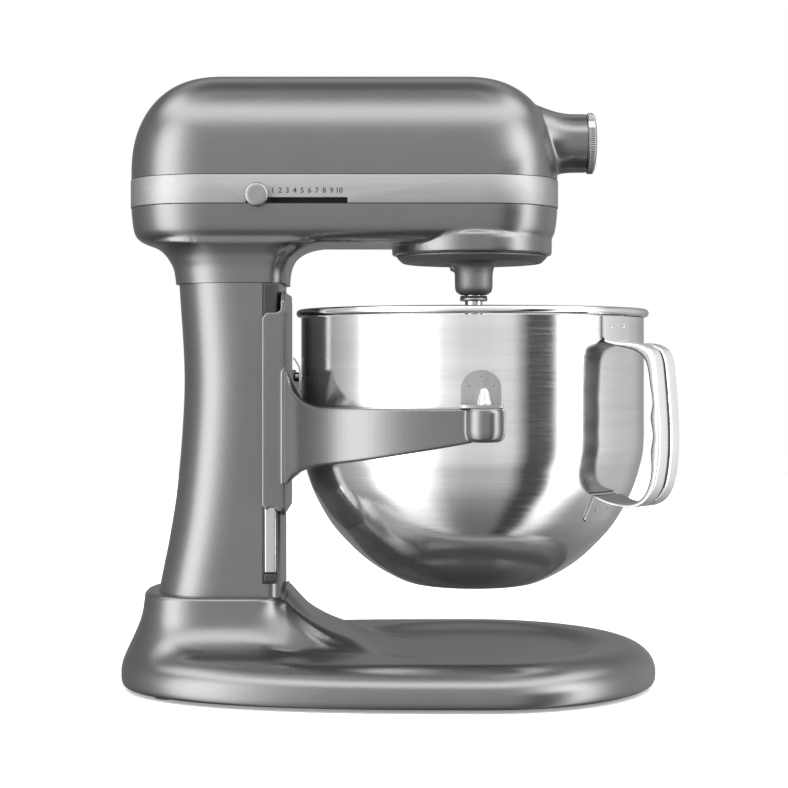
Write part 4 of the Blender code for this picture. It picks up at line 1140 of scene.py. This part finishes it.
def strip(name, line, thickness, low, high, look):
    """A bent strip of sheet: a line in X and Z given a thickness, between two places across the machine."""
    points = smooth_curve(line, 5)
    sides = []
    for before, p, after in zip(points[:1] + points, points, points[1:] + points[-1:]):
        along = (after - before).normalized()
        normal = Vector((-along.y, along.x)) * thickness / 2
        sides.append((p + normal, p - normal))
    outline = [tuple(a) for a, _ in sides] + [tuple(b) for _, b in reversed(sides)]
    return prism(name, outline, low, high, look)


def make_back_clip():
    line = [(-70.4, 224.4), (-68.0, 221.0), (-66.3, 217.4), (-65.9, 213.0), (-65.9, 204.0), (-66.9, 200.4)]
    spring = edges(strip("clip_spring", line, 0.8, -5.5, 5.5, handle_metal), 0.15, 2, 50.0)
    finish(spring, "mixing_bowl", "bright_steel", "back_clip")
    profile = rounded([(0.3, -0.9), (3.0, -0.9), (3.2, -2.0), (3.2, -4.6), (2.2, -5.6), (0.3, -5.8)], 0.7, 4)
    rivet = turned("clip_rivet", profile, bracket_metal, (DRIVE_X - BOWL_RADIUS, 0, 211.2), "X", 48)
    finish(rivet, "mixing_bowl", "bright_steel")


INNER_LOOKS = (
    (gear_look, (
        "ring_gear", "layshaft", "lay_gear", "layshaft_bevel", "main_shaft", "main_bevel_gear", "planet_pinion",
        "hub_bevel", "hub_socket", "motor_shaft", "motor_pinion",
    )),
    (motor_metal, ("bearing_plate", "layshaft_support", "motor_support", "motor_can", "motor_back_cap")),
    (winding_look, ("armature",)), (black_look, ("cooling_fan",)), (board_look, ("control_board",)),
    (rail_metal, ("hub_bearing",)),
)


def dress_inner_parts():
    for look, names in INNER_LOOKS:
        for name in names:
            inner = frame["nodes"][name]
            inner.data.materials.clear()
            inner.data.materials.append(look)


# ---- stage, light and camera


BRIGHTEST = 8.0  # a colour ramp's values stay under one, so they are stored as a share of this

# The studio as (degrees, brightness): round the horizon from the camera's side, and up from the floor
AROUND = (
    (-180, 0.3), (-145, 0.22), (-125, 0.3), (-107, 0.5), (-93, 0.75), (-85, 1.05), (-79, 1.9), (-71, 4.4),
    (-58, 5.6), (-46, 5.2), (-34, 2.8), (-22, 1.35), (-8, 1.0), (8, 1.0), (20, 1.1), (28, 1.5), (36, 2.6),
    (46, 4.8), (56, 6.2), (64, 6.0), (72, 5.0), (82, 2.2), (92, 1.0), (110, 0.8), (130, 0.7), (150, 0.4),
    (180, 0.3),
)
AROUND_HEIGHTS = (
    (-90, 0.12), (-62, 0.18), (-40, 0.46), (-20, 0.9), (-4, 1.0), (26, 1.0), (42, 0.5), (60, 0.3), (90, 0.3),
)
FLAG = (
    (-180, 0.0), (18, 0.0), (24, 0.2), (29, 0.7), (34, 0.99), (50, 0.99), (54, 0.85), (58, 0.4), (62, 0.0),
    (180, 0.0),
)
FLAG_HEIGHTS = ((-90, 1.0), (7.0, 1.0), (12.0, 0.0), (90, 0.0))
OVERHEAD = (
    (-90, 0.0), (28, 0.0), (37, 1.2), (42, 4.0), (51, 6.0), (58, 5.4), (65, 2.4), (72, 0.9), (82, 0.6),
    (90, 0.6),
)
OVERHEAD_REACH = ((-180, 0.15), (-130, 0.15), (-95, 0.8), (95, 0.8), (130, 0.15), (180, 0.15))


def math_node(operation, first, second=None):
    made = node(first.id_data, "ShaderNodeMath", operation=operation)
    link(first, made.inputs[0])
    if isinstance(second, float):
        made.inputs[1].default_value = second
    elif second is not None:
        link(second, made.inputs[1])
    return made.outputs[0]


def grey_ramp(value, stops, end):
    """A value read through a line of (degrees, brightness) stops, which run from -end to end."""
    made = node(value.id_data, "ShaderNodeValToRGB")
    scale = made.color_ramp
    scale.elements.remove(scale.elements[0])
    for index, (degrees, brightness) in enumerate(stops):
        position = (degrees + end) / (2 * end)
        element = scale.elements[0] if index == 0 else scale.elements.new(position)
        element.position = position
        element.color = (brightness / BRIGHTEST,) * 3 + (1.0,)
    link(value, made.inputs["Fac"])
    return made.outputs["Color"]


def for_camera(tree, other, camera):
    """One shader for the camera's own rays, and another for all the rest."""
    mixed = node(tree, "ShaderNodeMixShader")
    link(node(tree, "ShaderNodeLightPath").outputs["Is Camera Ray"], mixed.inputs[0])
    link(other, mixed.inputs[1])
    link(camera, mixed.inputs[2])
    return mixed.outputs[0]


def studio_world():
    """White to the camera; to everything else a soft studio of pale cards and darker gaps."""
    world = bpy.data.worlds.new("studio")
    bpy.context.scene.world = world
    world.use_nodes = True
    tree = world.node_tree
    tree.nodes.clear()
    parts = node(tree, "ShaderNodeSeparateXYZ")
    link(node(tree, "ShaderNodeTexCoord").outputs["Generated"], parts.inputs["Vector"])
    x, y, z = parts.outputs
    azimuth = ramp(math_node("ARCTAN2", x, math_node("MULTIPLY", y, -1.0)), -pi, pi)
    height = ramp(math_node("ARCSINE", z), -pi / 2, pi / 2)
    around, reach, flag = (grey_ramp(azimuth, stops, 180) for stops in (AROUND, OVERHEAD_REACH, FLAG))
    lower, overhead, flag_reach = (
        grey_ramp(height, stops, 90) for stops in (AROUND_HEIGHTS, OVERHEAD, FLAG_HEIGHTS)
    )
    shade = math_node("MULTIPLY", flag, flag_reach)
    left = math_node("ADD", math_node("MULTIPLY", shade, -BRIGHTEST * BRIGHTEST), 1.0)
    walls = math_node("MULTIPLY", math_node("MULTIPLY", around, lower), left)
    cards = math_node("MAXIMUM", walls, math_node("MULTIPLY", overhead, reach))
    studio = node(tree, "ShaderNodeBackground", Color=(1.0, 1.0, 1.0, 1.0))
    link(math_node("MULTIPLY", cards, BRIGHTEST * BRIGHTEST), studio.inputs["Strength"])
    white = node(tree, "ShaderNodeBackground", Color=(1.0, 1.0, 1.0, 1.0), Strength=1.0)
    out = node(tree, "ShaderNodeOutputWorld")
    link(for_camera(tree, studio.outputs[0], white.outputs[0]), out.inputs["Surface"])


def make_floor():
    look, tree = new_look(
        "studio_floor", Roughness=0.55, Emission_Color=(1.0, 1.0, 1.0, 1.0), Emission_Strength=0.25
    )
    cloud = noise(coordinates(tree), 3.0, 4.0)
    shader = tree.nodes["Principled BSDF"]
    tone = mix_colour(ramp(cloud, 0.3, 0.7), (0.90, 0.90, 0.90), (0.93, 0.93, 0.93))
    link(tone, shader.inputs["Base Color"])
    clear = node(tree, "ShaderNodeBsdfTransparent")
    surface = tree.nodes["Material Output"].inputs["Surface"]
    link(for_camera(tree, clear.outputs[0], shader.outputs[0]), surface)
    mesh = bpy.data.meshes.new("floor")
    reach, near = 2.2, -1.6
    corners = [(-reach, near, 0), (reach, near, 0), (reach, reach, 0), (-reach, reach, 0)]
    mesh.from_pydata(corners, [], [(0, 1, 2, 3)])
    mesh.materials.append(look)
    add_object("floor", mesh)


def make_camera():
    data = bpy.data.cameras.new("camera")
    data.lens = 82.2
    data.shift_x, data.shift_y = 0.0146, -0.0414
    data.clip_start, data.clip_end = 0.05, 20.0
    camera = add_object("camera", data)
    camera.location = (-0.00591, -1.25, 0.222)
    camera.rotation_euler = (radians(90), 0, 0)
    bpy.context.scene.camera = camera


def main():
    for make in (
        make_upper_housing, make_trim_band, make_lower_housing, make_hub_cap, make_hub_screw, make_planetary,
        make_speed_control, make_column, make_base, make_feet, make_rails, make_cord_gland, make_yoke,
        make_lift_lever, make_bowl, make_side_brackets, make_handle, make_back_clip, dress_inner_parts,
        make_floor, studio_world, make_camera,
    ):
        make()
    bpy.context.scene.view_settings.view_transform = "Standard"


main()
